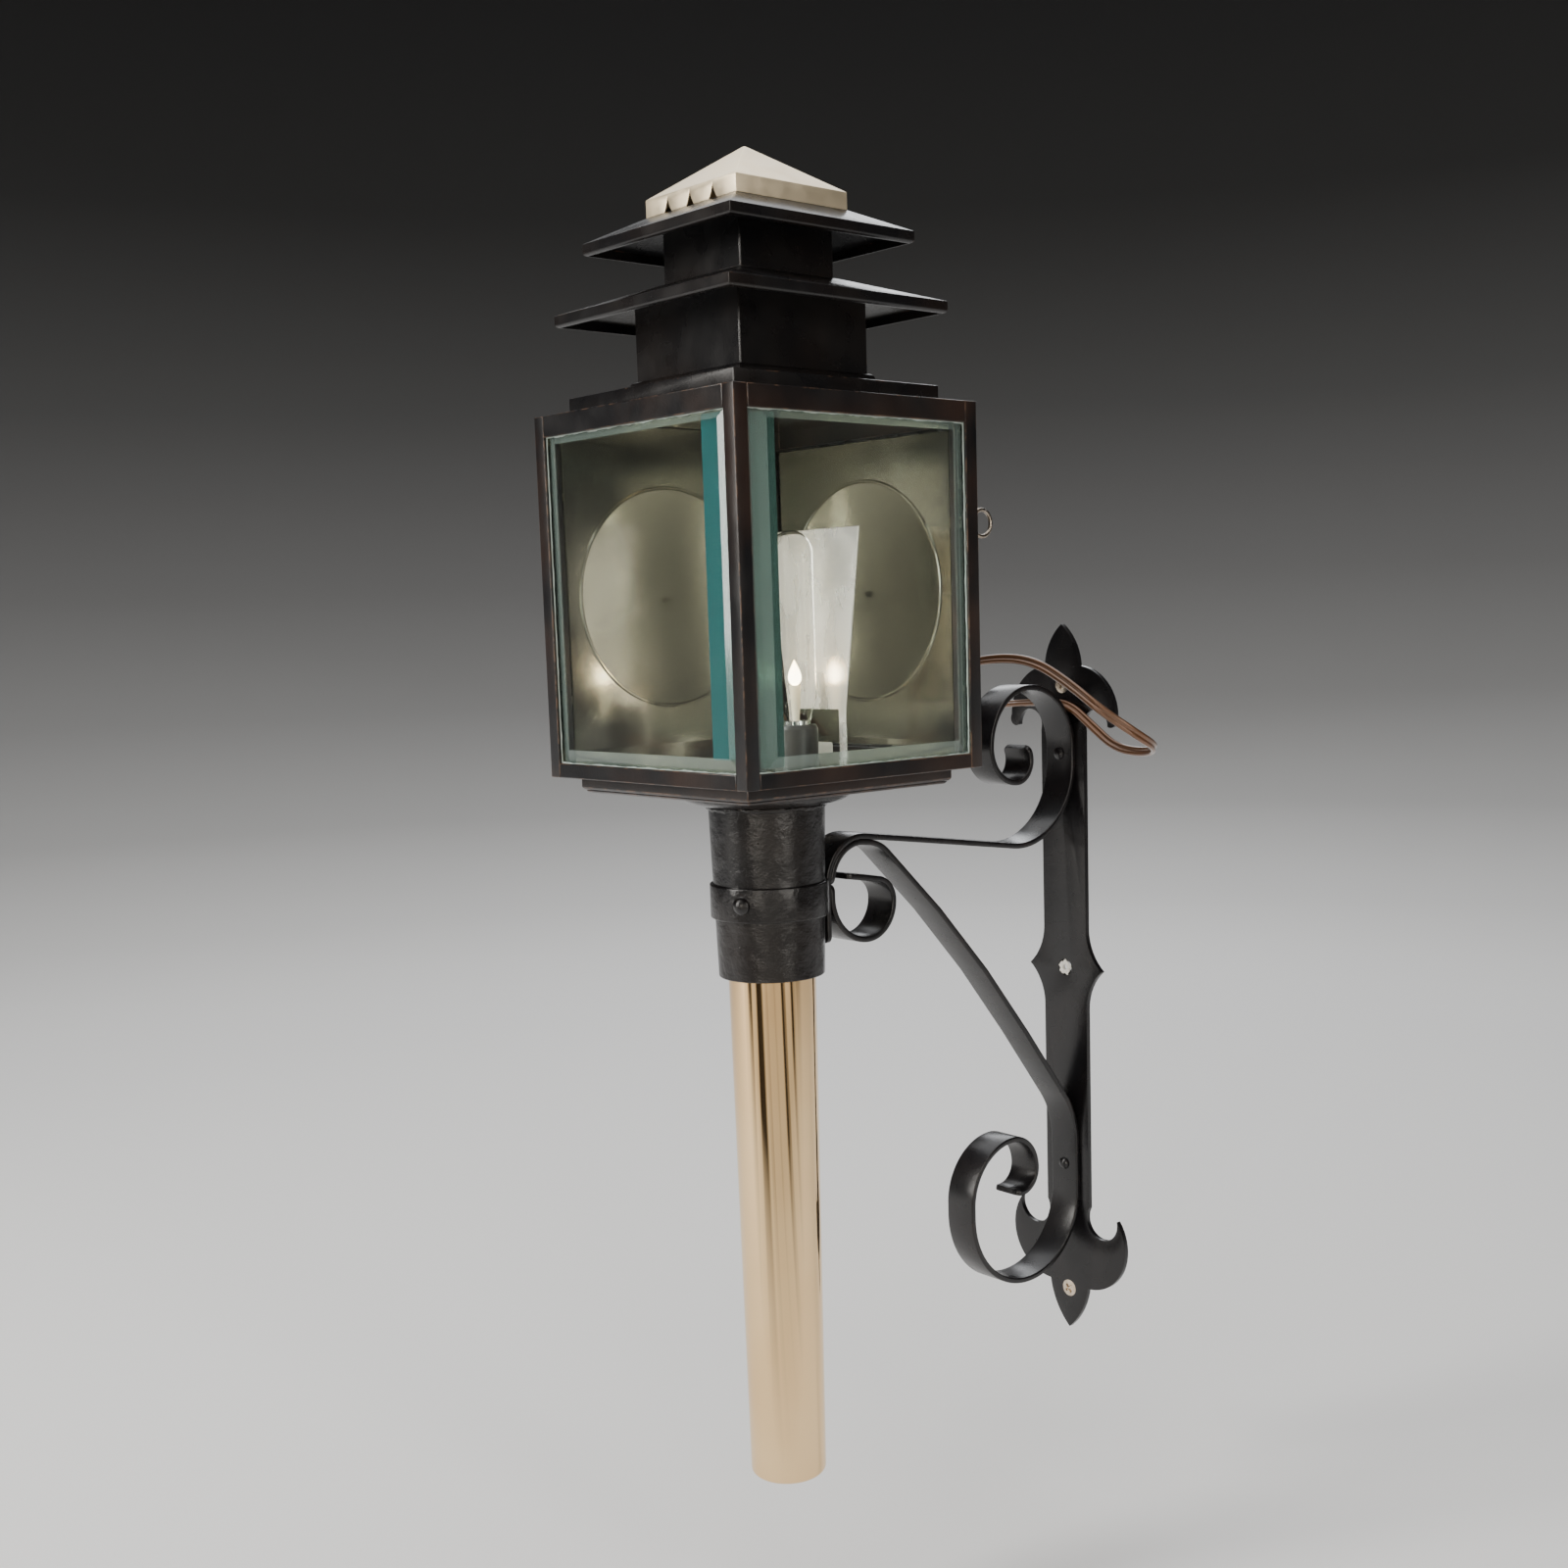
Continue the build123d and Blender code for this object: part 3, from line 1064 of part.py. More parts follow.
def flame_mirror():
    """Polished upright plate behind the lamp, standing on two legs with turned-out feet."""
    top_half, foot_half = MIRROR_W / 2, MIRROR_FOOT_W / 2
    low, high = FLOOR_Z + MIRROR_FOOT, FLOOR_Z + MIRROR_TOP
    corners = [(-top_half, high), (top_half, high), (foot_half, low), (-foot_half, low)]
    outline = make_face(Polyline([(LAMP_X + x, MIRROR_Y, z) for x, z in corners], close=True))
    plate = extrude(outline, MIRROR_T, dir=(0, 1, 0))
    for x in (LAMP_X - foot_half, LAMP_X + foot_half - MIRROR_LEG_W):
        plate += block(x, x + MIRROR_LEG_W, MIRROR_Y, MIRROR_Y + MIRROR_T, FLOOR_Z, low)
        plate += block(x, x + MIRROR_LEG_W, MIRROR_Y, MIRROR_Y + 9.0, FLOOR_Z, FLOOR_Z + MIRROR_T)
    return plate


def inner_terminal_block():
    """Two-way terminal block on the case floor."""
    y1 = REAR_Y - BLOCK_FROM_REAR + BLOCK_D / 2
    body = block(BLOCK_X - BLOCK_W / 2, BLOCK_X + BLOCK_W / 2, y1 - BLOCK_D, y1, FLOOR_Z, FLOOR_Z + BLOCK_H)
    return fillet(body.edges().filter_by(Axis.Y), 1.2)


# ---------------------------------------------------------------- cable
def cable_gland():
    """Hexagon gland in the left wall, with its nut inside."""
    wall_out = LEFT_X + POST_T
    hexagon = Plane(origin=(wall_out, GLAND_Y, GLAND_Z), z_dir=(-1, 0, 0)) * RegularPolygon(GLAND_HEX / 2, 6)
    nut_plane = Plane(origin=(wall_out + SHEET, GLAND_Y, GLAND_Z), z_dir=(1, 0, 0))
    gland = extrude(hexagon, GLAND_FLANGE_T)
    gland += extrude(nut_plane * RegularPolygon(GLAND_HEX / 2, 6), 2.0)
    gland += rod((wall_out - 1, GLAND_Y, GLAND_Z), (wall_out + SHEET + 5.0, GLAND_Y, GLAND_Z), RELIEF_R)
    return gland


def strain_relief():
    """Tapered rubber sleeve from the gland to the flex."""
    x0 = LEFT_X + POST_T - GLAND_FLANGE_T
    way = Plane(origin=(x0 - RELIEF_L / 2, GLAND_Y, GLAND_Z), z_dir=(-1, 0, 0))
    return way * Cone(RELIEF_R, RELIEF_TIP_R, RELIEF_L)


def flex_cord():
    """The flex outside the lantern."""
    return cord_tube("flex_cord", CORD_POINTS, CORD_R)


def inner_flex():
    """The flex inside the case: gland to terminal block, and block to lampholder."""
    inlet = cord_tube("inner_flex_inlet", FLEX_IN_POINTS, FLEX_R)
    lamp = cord_tube("inner_flex_lamp", FLEX_LAMP_POINTS, FLEX_R)
    return Compound(children=[inlet, lamp])


def connector_plane():
    """Plane at the far end of the flex, looking along it."""
    a, b = Vector(*CORD_POINTS[-2]), Vector(*CORD_POINTS[-1])
    return Plane(origin=b, x_dir=(0, 1, 0), z_dir=b - a)


def flex_connector():
    """Two-way screw connector on the far end of the flex, flat to the wall."""
    body = Pos(0, 0, CONNECTOR_L / 2) * Box(CONNECTOR_T, CONNECTOR_W, CONNECTOR_L)
    body = fillet(body.edges().filter_by(Axis.Z), 1.5)
    for side in (-1, 1):
        for along in (0.28, 0.72):
            well = Pos(-CONNECTOR_T / 2, side * CONNECTOR_W / 4, CONNECTOR_L * along)
            body -= well * (Rot(0, 90, 0) * Cylinder(CONNECTOR_SCREW_R, 3.0))
    return connector_plane() * body


# ---------------------------------------------------------------- all the pieces
PIECES = {
    "wall_plate": wall_plate,
    "upper_strap": upper_strap,
    "lower_strap": lower_strap,
    "plate_rivets": plate_rivets,
    "clamp_band": clamp_band,
    "clamp_rivet": clamp_rivet,
    "clamp_screw": clamp_screw,
    "socket_dome": socket_dome,
    "socket_ferrule": socket_ferrule,
    "spring_sleeve": spring_sleeve,
    "candle_tube": candle_tube,
    "tube_end_cap": tube_end_cap,
    "case_floor": case_floor,
    "ceiling_plate": ceiling_plate,
    "base_tray": base_tray,
    "front_glass": front_glass,
    "side_glass": side_glass,
    "front_glass_bead": front_glass_bead,
    "side_glass_bead": side_glass_bead,
    "left_wall": left_wall,
    "rear_door": rear_door,
    "case_hinge_leaves": lambda: hinge_leaves("case"),
    "door_hinge_leaves": lambda: hinge_leaves("door"),
    "hinge_pins": hinge_pins,
    "catch_plate": catch_plate,
    "catch_spindle": catch_spindle,
    "catch_tongue": catch_tongue,
    "pull_loop": pull_loop,
    "roof_pan": roof_pan,
    "lower_neck": lower_neck,
    "neck_bead": neck_bead,
    "lower_louvre": lower_louvre,
    "upper_neck": upper_neck,
    "upper_louvre": upper_louvre,
    "vent_cap": vent_cap,
    "inner_chimney": inner_chimney,
    "lampholder_base": lampholder_base,
    "lampholder_screws": lampholder_screws,
    "lampholder": lampholder,
    "bulb_cap": bulb_cap,
    "bulb_glass": bulb_glass,
    "flame_stem": flame_stem,
    "flame_diffuser": flame_diffuser,
    "flame_mirror": flame_mirror,
    "inner_terminal_block": inner_terminal_block,
    "cable_gland": cable_gland,
    "strain_relief": strain_relief,
    "flex_cord": flex_cord,
    "inner_flex": inner_flex,
    "flex_connector": flex_connector,
    "side_reflector": lambda: SIDE_REFLECTOR_PLANE * reflector() - gland_hole(),
    "side_reflector_studs": lambda: SIDE_REFLECTOR_PLANE * reflector_studs(),
    "door_reflector": lambda: DOOR_REFLECTOR_PLANE * reflector(),
    "door_reflector_studs": lambda: DOOR_REFLECTOR_PLANE * reflector_studs(),
}
for side_name, side_x, side_y in (("front_left", -1, -1), ("front_right", 1, -1),
                                  ("rear_left", -1, 1), ("rear_right", 1, 1)):
    PIECES["post_" + side_name] = lambda sx=side_x, sy=side_y: corner_post(sx, sy)
PIECES["bottom_rails"] = lambda: Compound(
    children=[rail(side, CASE_Z, CASE_Z + BOTTOM_RAIL_H) for side in ("front", "right", "rear", "left")])
PIECES["top_rails"] = lambda: Compound(
    children=[rail(side, CASE_TOP - TOP_RAIL_H, CASE_TOP) for side in ("front", "right", "rear", "left")])

os.makedirs("parts", exist_ok=True)
for node, make in PIECES.items():
    export_step(make(), f"parts/{node}.step")
print(len(PIECES), "pieces")
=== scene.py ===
"""Looks of a wall-hung carriage lantern: glazed case, louvred roof, brass tube and scrolled bracket."""

import logging
import math
from dataclasses import dataclass, field
from enum import Enum

import bmesh
import bpy
import numpy as np
from mathutils import Matrix


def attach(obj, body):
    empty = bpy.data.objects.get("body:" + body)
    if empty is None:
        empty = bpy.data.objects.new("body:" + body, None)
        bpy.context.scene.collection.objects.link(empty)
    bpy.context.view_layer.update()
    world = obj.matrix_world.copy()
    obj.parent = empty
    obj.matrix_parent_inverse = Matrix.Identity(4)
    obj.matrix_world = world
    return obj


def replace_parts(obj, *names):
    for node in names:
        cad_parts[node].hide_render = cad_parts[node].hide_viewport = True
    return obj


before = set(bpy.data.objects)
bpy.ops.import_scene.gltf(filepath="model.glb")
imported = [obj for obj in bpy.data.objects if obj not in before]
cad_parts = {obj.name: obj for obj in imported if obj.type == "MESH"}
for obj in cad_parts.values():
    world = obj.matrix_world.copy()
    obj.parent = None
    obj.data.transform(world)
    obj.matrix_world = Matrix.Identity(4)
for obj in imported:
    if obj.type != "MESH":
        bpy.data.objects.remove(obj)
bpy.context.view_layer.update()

LOG = logging.getLogger("lantern")
MM = 0.001
Pin = tuple[bpy.types.Node, str | int]
Colour = tuple[float, float, float]
Point = tuple[float, float, float]

# Places that several pieces share, in metres.
AXIS_Y = -0.221
CASE_Z = 0.1435
CASE_TOP = 0.3145
FRONT_Y = -0.294
REAR_Y = -0.148
CASE_MID_Z = 0.229
FERRULE_TOP = 0.1286
FERRULE_MOUTH = 0.0446
TUBE_BOTTOM = -0.2119
TUBE_TOP = 0.1221
BAND_Z = 0.0821
LAMP_X = 0.010
LAMP_Y = -0.211
BULB_FOOT_Z = 0.168


class Body(Enum):
    """The rigid bodies that new pieces ride on."""

    LANTERN = "lantern"
    DOOR = "door"
    TUBE = "tube"


class Slot(Enum):
    """Names of the record's material slots."""

    BLACK_IRON = "black_iron"
    BLACK_PAINT = "black_paint"
    POLISHED_BRASS = "polished_brass"
    PALE_BRASS = "pale_brass"
    SILVERED = "silvered_sheet"
    GLASS = "bevelled_glass"
    STEEL = "hinge_steel"
    BULB_GLASS = "bulb_glass"
    FLAME = "flame_glow"
    MIRROR = "mirror_plate"
    NYLON = "nylon"
    RUBBER = "rubber"
    FLEX = "flex"


# ---------------------------------------------------------------- node trees
class Sketch:
    """Adds and joins the nodes of one node tree."""

    def __init__(self, tree: bpy.types.NodeTree) -> None:
        """Keep the tree that the nodes go into.

        Args:
            tree: A material's or group's node tree.
        """
        self.tree = tree

    def add(self, kind: str, settings: dict | None = None, values: dict | None = None) -> bpy.types.Node:
        """Add a node.

        Args:
            kind: The node's type name.
            settings: Attributes to set on the node.
            values: Default values of its inputs, by name or number.

        Returns:
            The new node.
        """
        node = self.tree.nodes.new(kind)
        for name, value in (settings or {}).items():
            setattr(node, name, value)
        for name, value in (values or {}).items():
            node.inputs[name].default_value = value
        return node

    def feed(self, part: Pin | Colour | float, node: bpy.types.Node, into: str | int) -> None:
        """Link a pin to an input, or set the input to a colour or a number.

        Args:
            part: (node, output), a colour or a number.
            node: The node that takes it.
            into: The input's name or number.
        """
        if isinstance(part, tuple) and isinstance(part[0], bpy.types.Node):
            self.tree.links.new(part[0].outputs[part[1]], node.inputs[into])
        else:
            node.inputs[into].default_value = (*part, 1.0) if isinstance(part, tuple) else part

    def fill(self, node: bpy.types.Node, parts: dict[str, Pin | Colour | float]) -> None:
        """Feed several inputs of a node.

        Args:
            node: The node.
            parts: What goes into each input.
        """
        for into, part in parts.items():
            self.feed(part, node, into)

    def calc(self, operation: str, first: Pin | float, second: Pin | float, clamp: bool = False) -> Pin:
        """Work out one sum.

        Args:
            operation: The math node's operation.
            first: First pin or number.
            second: Second pin or number.
            clamp: Whether the result is kept between 0 and 1.

        Returns:
            The result's pin.
        """
        node = self.add("ShaderNodeMath", {"operation": operation, "use_clamp": clamp})
        self.feed(first, node, 0)
        self.feed(second, node, 1)
        return node, 0

    def noise(self, place: Pin, scale: Pin | float, detail: float, roughness: float = 0.5,
              distortion: float = 0.0) -> Pin:
        """Add a noise.

        Args:
            place: Pin of the coordinates.
            scale: Its scale.
            detail: Its detail.
            roughness: Its roughness.
            distortion: Its distortion.

        Returns:
            The noise's pin.
        """
        node = self.add("ShaderNodeTexNoise", values={"Detail": detail, "Roughness": roughness,
                                                      "Distortion": distortion})
        self.feed(place, node, "Vector")
        self.feed(scale, node, "Scale")
        return node, "Fac"

    def height(self, vector: Pin) -> Pin:
        """Take the Z of a vector.

        Args:
            vector: Pin of the vector.

        Returns:
            The Z's pin.
        """
        node = self.add("ShaderNodeSeparateXYZ")
        self.feed(vector, node, 0)
        return node, "Z"

    def mix(self, first: Colour | Pin, second: Colour | Pin, mask: Pin) -> Pin:
        """Mix two colours by a mask.

        Args:
            first: Where the mask is 0.
            second: Where the mask is 1.
            mask: Pin of the mask.

        Returns:
            The mixed colour's pin.
        """
        node = self.add("ShaderNodeMix", {"data_type": "RGBA"})
        for index, part in ((0, mask), (6, first), (7, second)):
            self.feed(part, node, index)
        return node, 2

    def spread(self, source: Pin, low: float, high: float, from_low: float = 0.0,
               from_high: float = 1.0) -> Pin:
        """Map a value's range onto another, clamped.

        Args:
            source: Pin of the value.
            low: Result at from_low.
            high: Result at from_high.
            from_low: Start of the source's range.
            from_high: End of the source's range.

        Returns:
            The result's pin.
        """
        node = self.add("ShaderNodeMapRange", {"clamp": True},
                        {"From Min": from_low, "From Max": from_high, "To Min": low, "To Max": high})
        self.feed(source, node, "Value")
        return node, "Result"


def new_group(name: str, inputs: dict[str, float],
              output: str) -> tuple[Sketch, bpy.types.Node, bpy.types.Node]:
    """Start a shader node group.

    Args:
        name: The group's name.
        inputs: Its float inputs with their defaults.
        output: Its float output.

    Returns:
        The sketch of its tree, its input node and its output node.
    """
    tree = bpy.data.node_groups.new(name, "ShaderNodeTree")
    for label, value in inputs.items():
        tree.interface.new_socket(label, in_out="INPUT", socket_type="NodeSocketFloat").default_value = value
    tree.interface.new_socket(output, in_out="OUTPUT", socket_type="NodeSocketFloat")
    sketch = Sketch(tree)
    return sketch, sketch.add("NodeGroupInput"), sketch.add("NodeGroupOutput")


def edge_wear_group() -> bpy.types.NodeTree:
    """Group: how far the finish is rubbed through, from the piece's own edge attribute and two noises.

    Returns:
        The group.
    """
    least_wear = 0.78
    steepness = 9.0
    sketch, given, out = new_group("edge_wear", {"Scale": 120.0, "Amount": 0.5, "Chips": 0.0}, "Mask")
    place = (sketch.add("ShaderNodeTexCoord"), "Object")
    edge = (sketch.add("ShaderNodeAttribute", {"attribute_name": "edge"}), "Fac")
    patches = sketch.noise(place, (given, "Scale"), 6.0, 0.62)
    over = sketch.calc("SUBTRACT", patches, sketch.calc("SUBTRACT", least_wear, (given, "Amount")))
    rubbed = sketch.calc("MULTIPLY", sketch.calc("MULTIPLY", over, steepness, clamp=True), edge)
    specks = sketch.spread(sketch.noise(place, 310.0, 3.0), 0.0, 1.0, 0.70, 0.74)
    chips = sketch.calc("MULTIPLY", specks, (given, "Chips"))
    sketch.feed(sketch.calc("ADD", rubbed, chips, clamp=True), out, "Mask")
    return sketch.tree


def surface_relief_group() -> bpy.types.NodeTree:
    """Group: height from broad dents and fine grain, each with its own scale and share.

    Returns:
        The group.
    """
    sketch, given, out = new_group("surface_relief", {"Broad Scale": 30.0, "Fine Scale": 700.0,
                                                      "Fine Share": 0.3}, "Height")
    place = (sketch.add("ShaderNodeTexCoord"), "Object")
    broad = sketch.noise(place, (given, "Broad Scale"), 2.0, 0.45)
    fine = sketch.noise(place, (given, "Fine Scale"), 3.0, 0.6)
    share = sketch.calc("MULTIPLY", fine, (given, "Fine Share"))
    sketch.feed(sketch.calc("ADD", broad, share), out, "Height")
    return sketch.tree


def grime_group() -> bpy.types.NodeTree:
    """Group: cloudy film and settled dust, thicker on faces that look upwards.

    Returns:
        The group.
    """
    sketch, given, out = new_group("grime", {"Scale": 22.0, "Level": 0.5, "Settled": 0.0}, "Mask")
    coords = sketch.add("ShaderNodeTexCoord")
    cloud = sketch.noise((coords, "Object"), (given, "Scale"), 4.0, 0.45, 0.2)
    film = sketch.calc("MULTIPLY", sketch.spread(cloud, 0.0, 1.0, 0.38, 0.72), (given, "Level"))
    upward = sketch.spread(sketch.height((coords, "Normal")), 0.0, 1.0, 0.3, 1.0)
    dust = sketch.calc("MULTIPLY", upward, (given, "Settled"))
    sketch.feed(sketch.calc("ADD", film, dust, clamp=True), out, "Mask")
    return sketch.tree


def streaks_group() -> bpy.types.NodeTree:
    """Group: fine lines drawn along the height of a tube, from noise stretched along Z.

    Returns:
        The group.
    """
    sketch, given, out = new_group("drawn_streaks", {"Across": 420.0, "Along": 3.0}, "Mask")
    sizes = sketch.add("ShaderNodeCombineXYZ")
    sketch.fill(sizes, {"X": (given, "Across"), "Y": (given, "Across"), "Z": (given, "Along")})
    stretched = sketch.add("ShaderNodeVectorMath", {"operation": "MULTIPLY"})
    sketch.feed((sketch.add("ShaderNodeTexCoord"), "Object"), stretched, 0)
    sketch.feed((sizes, 0), stretched, 1)
    sketch.feed(sketch.noise((stretched, 0), 1.0, 4.0, 0.6), out, "Mask")
    return sketch.tree


class Effects:
    """The shared node groups, each built once."""

    def __init__(self) -> None:
        """Build every group."""
        self.wear = edge_wear_group()
        self.relief = surface_relief_group()
        self.grime = grime_group()
        self.streaks = streaks_group()

    def place(self, sketch: Sketch, tree: bpy.types.NodeTree, values: dict[str, float]) -> Pin:
        """Place a group in a material with its own values.

        Args:
            sketch: The material's tree.
            tree: The group.
            values: Its input values.

        Returns:
            The pin of the group's output.
        """
        return sketch.add("ShaderNodeGroup", {"node_tree": tree}, values), 0


# ---------------------------------------------------------------- finishes
def new_material(name: str) -> tuple[bpy.types.Material, Sketch, bpy.types.Node, bpy.types.Node]:
    """Start a material.

    Args:
        name: The material's name.

    Returns:
        The material, its sketch, its Principled BSDF and its output node.
    """
    material = bpy.data.materials.new(name)
    material.use_nodes = True
    sketch = Sketch(material.node_tree)
    material.node_tree.nodes.clear()
    shader = sketch.add("ShaderNodeBsdfPrincipled")
    out = sketch.add("ShaderNodeOutputMaterial")
    sketch.feed((shader, "BSDF"), out, "Surface")
    return material, sketch, shader, out


def relief_bump(effects: Effects, sketch: Sketch, shader: bpy.types.Node, scales: tuple[float, float, float],
                depth: float, strength: float) -> None:
    """Feed a shader's normal from the surface relief group.

    Args:
        effects: The shared groups.
        sketch: The material's tree.
        shader: The Principled BSDF.
        scales: The relief's broad scale, fine scale and fine share.
        depth: Bump distance in metres.
        strength: Bump strength.
    """
    values = dict(zip(("Broad Scale", "Fine Scale", "Fine Share"), scales))
    bump = sketch.add("ShaderNodeBump", values={"Distance": depth, "Strength": strength})
    sketch.feed(effects.place(sketch, effects.relief, values), bump, "Height")
    sketch.feed((bump, "Normal"), shader, "Normal")


@dataclass(frozen=True)
class PaintFinish:
    """Black paint over metal: brushed relief, rubbed edges, film and dust."""

    name: str
    colour: Colour = (0.0060, 0.0058, 0.0068)
    tint: Colour = (0.013, 0.009, 0.0075)
    bare: Colour = (0.085, 0.048, 0.030)
    dusty: Colour = (0.10, 0.09, 0.08)
    wear: float = 0.22
    chips: float = 0.0
    gloss: float = 0.25
    dull: float = 0.5
    depth: float = 0.0006
    strength: float = 0.35
    broad: float = 45.0
    fine: float = 900.0
    dust: float = 0.05

    def build(self, effects: Effects) -> bpy.types.Material:
        """Make the material.

        Args:
            effects: The shared groups.

        Returns:
            The material.
        """
        material, sketch, shader, _ = new_material(self.name)
        clouds = effects.place(sketch, effects.grime, {"Scale": 26.0, "Level": 0.8, "Settled": 0.0})
        film = effects.place(sketch, effects.grime, {"Scale": 60.0, "Level": 0.35, "Settled": self.dust})
        worn = effects.place(sketch, effects.wear, {"Scale": 140.0, "Amount": self.wear, "Chips": self.chips})
        tinted = sketch.mix(self.colour, self.tint, clouds)
        filmed = sketch.mix(tinted, self.dusty, sketch.spread(film, 0.0, 0.10))
        sketch.fill(shader, {"Base Color": sketch.mix(filmed, self.bare, worn), "Specular IOR Level": 0.45,
                             "Roughness": sketch.spread(film, self.gloss, self.dull)})
        relief_bump(effects, sketch, shader, (self.broad, self.fine, 0.25), self.depth, self.strength)
        return material


@dataclass(frozen=True)
class MetalFinish:
    """Bare or plated metal with film, streaks and handling marks."""

    name: str
    colour: Colour
    tarnish: Colour
    tarnish_level: float = 0.4
    rough_low: float = 0.08
    rough_high: float = 0.2
    grime_scale: float = 20.0
    across: float = 420.0
    along: float = 3.0
    depth: float = 0.0002
    strength: float = 0.2
    broad: float = 18.0
    wear: float = 0.0
    metallic: float = 1.0

    def build(self, effects: Effects) -> bpy.types.Material:
        """Make the material.

        Args:
            effects: The shared groups.

        Returns:
            The material.
        """
        material, sketch, shader, _ = new_material(self.name)
        film = effects.place(sketch, effects.grime,
                             {"Scale": self.grime_scale, "Level": self.tarnish_level, "Settled": 0.0})
        lines = effects.place(sketch, effects.streaks, {"Across": self.across, "Along": self.along})
        colour = sketch.mix(self.colour, self.tarnish, film)
        if self.wear:
            worn = effects.place(sketch, effects.wear, {"Scale": 90.0, "Amount": self.wear, "Chips": 0.0})
            colour = sketch.mix(colour, self.tarnish, worn)
        rough = sketch.spread(lines, self.rough_low, self.rough_high, 0.35, 0.68)
        sketch.fill(shader, {"Base Color": colour, "Roughness": rough, "Metallic": self.metallic})
        relief_bump(effects, sketch, shader, (self.broad, 600.0, 0.04), self.depth, self.strength)
        return material


@dataclass(frozen=True)
class PlasticFinish:
    """Moulded or rubber part with fine grain."""

    name: str
    colour: Colour
    stain: Colour
    rough: float = 0.45
    translucent: float = 0.0
    depth: float = 0.0003
    strength: float = 0.3

    def build(self, effects: Effects) -> bpy.types.Material:
        """Make the material.

        Args:
            effects: The shared groups.

        Returns:
            The material.
        """
        material, sketch, shader, _ = new_material(self.name)
        film = effects.place(sketch, effects.grime, {"Scale": 70.0, "Level": 0.6, "Settled": 0.1})
        rough = sketch.spread(film, self.rough, min(1.0, self.rough + 0.25))
        sketch.fill(shader, {"Base Color": sketch.mix(self.colour, self.stain, film), "Roughness": rough,
                             "Transmission Weight": self.translucent})
        relief_bump(effects, sketch, shader, (200.0, 1500.0, 0.5), self.depth, self.strength)
        return material


@dataclass(frozen=True)
class GlassFinish:
    """Clear or tinted glass that lets lamps through."""

    name: str
    colour: Colour
    transmission: float = 1.0
    roughness: float = 0.0
    ior: float = 1.5

    def build(self) -> bpy.types.Material:
        """Make the material: shadow rays pass with a paler shade of the glass's colour.

        Returns:
            The material.
        """
        material, sketch, shader, out = new_material(self.name)
        sketch.fill(shader, {"Base Color": self.colour, "Transmission Weight": self.transmission,
                             "Roughness": self.roughness, "IOR": self.ior})
        clear = sketch.add("ShaderNodeBsdfTransparent")
        sketch.feed(tuple(0.6 + 0.4 * part for part in self.colour), clear, "Color")
        either = sketch.add("ShaderNodeMixShader")
        sketch.feed((sketch.add("ShaderNodeLightPath"), "Is Shadow Ray"), either, "Fac")
        sketch.feed((shader, "BSDF"), either, 1)
        sketch.feed((clear, "BSDF"), either, 2)
        sketch.feed((either, "Shader"), out, "Surface")
        return material


@dataclass(frozen=True)
class GlowFinish:
    """Lit flame: hot white core towards a warmer tip, by height."""

    name: str
    low_z: float
    high_z: float
    core: Colour = (1.0, 0.86, 0.62)
    tip: Colour = (1.0, 0.62, 0.25)
    power: float = 60.0

    def build(self) -> bpy.types.Material:
        """Make the material.

        Returns:
            The material.
        """
        material, sketch, shader, _ = new_material(self.name)
        place = (sketch.add("ShaderNodeTexCoord"), "Object")
        rise = sketch.spread(sketch.height(place), 0.0, 1.0, self.low_z, self.high_z)
        sketch.fill(shader, {"Emission Color": sketch.mix(self.core, self.tip, rise), "Base Color": self.core,
                             "Emission Strength": self.power, "Roughness": 0.4})
        return material


@dataclass(frozen=True)
class FlexFinish:
    """Clear brown plastic over twisted copper, by the map along and across the flex."""

    name: str
    sleeve: Colour = (0.075, 0.032, 0.016)
    strand: Colour = (0.26, 0.115, 0.048)
    dust: Colour = (0.10, 0.07, 0.05)

    def build(self, effects: Effects) -> bpy.types.Material:
        """Make the material.

        Args:
            effects: The shared groups.

        Returns:
            The material.
        """
        material, sketch, shader, _ = new_material(self.name)
        uv = (sketch.add("ShaderNodeUVMap", {"uv_map": "along_round"}), "UV")
        lay = sketch.add("ShaderNodeTexWave", {"bands_direction": "DIAGONAL"},
                         {"Scale": 9.0, "Distortion": 0.6, "Detail": 1.0})
        sketch.feed(uv, lay, "Vector")
        colour = sketch.mix(self.sleeve, self.strand, sketch.spread((lay, "Fac"), 0.15, 0.85))
        film = effects.place(sketch, effects.grime, {"Scale": 45.0, "Level": 0.5, "Settled": 0.15})
        sketch.fill(shader, {"Base Color": sketch.mix(colour, self.dust, film), "Roughness": 0.28,
                             "Coat Weight": 0.6, "Coat Roughness": 0.12, "Metallic": 0.35})
        return material


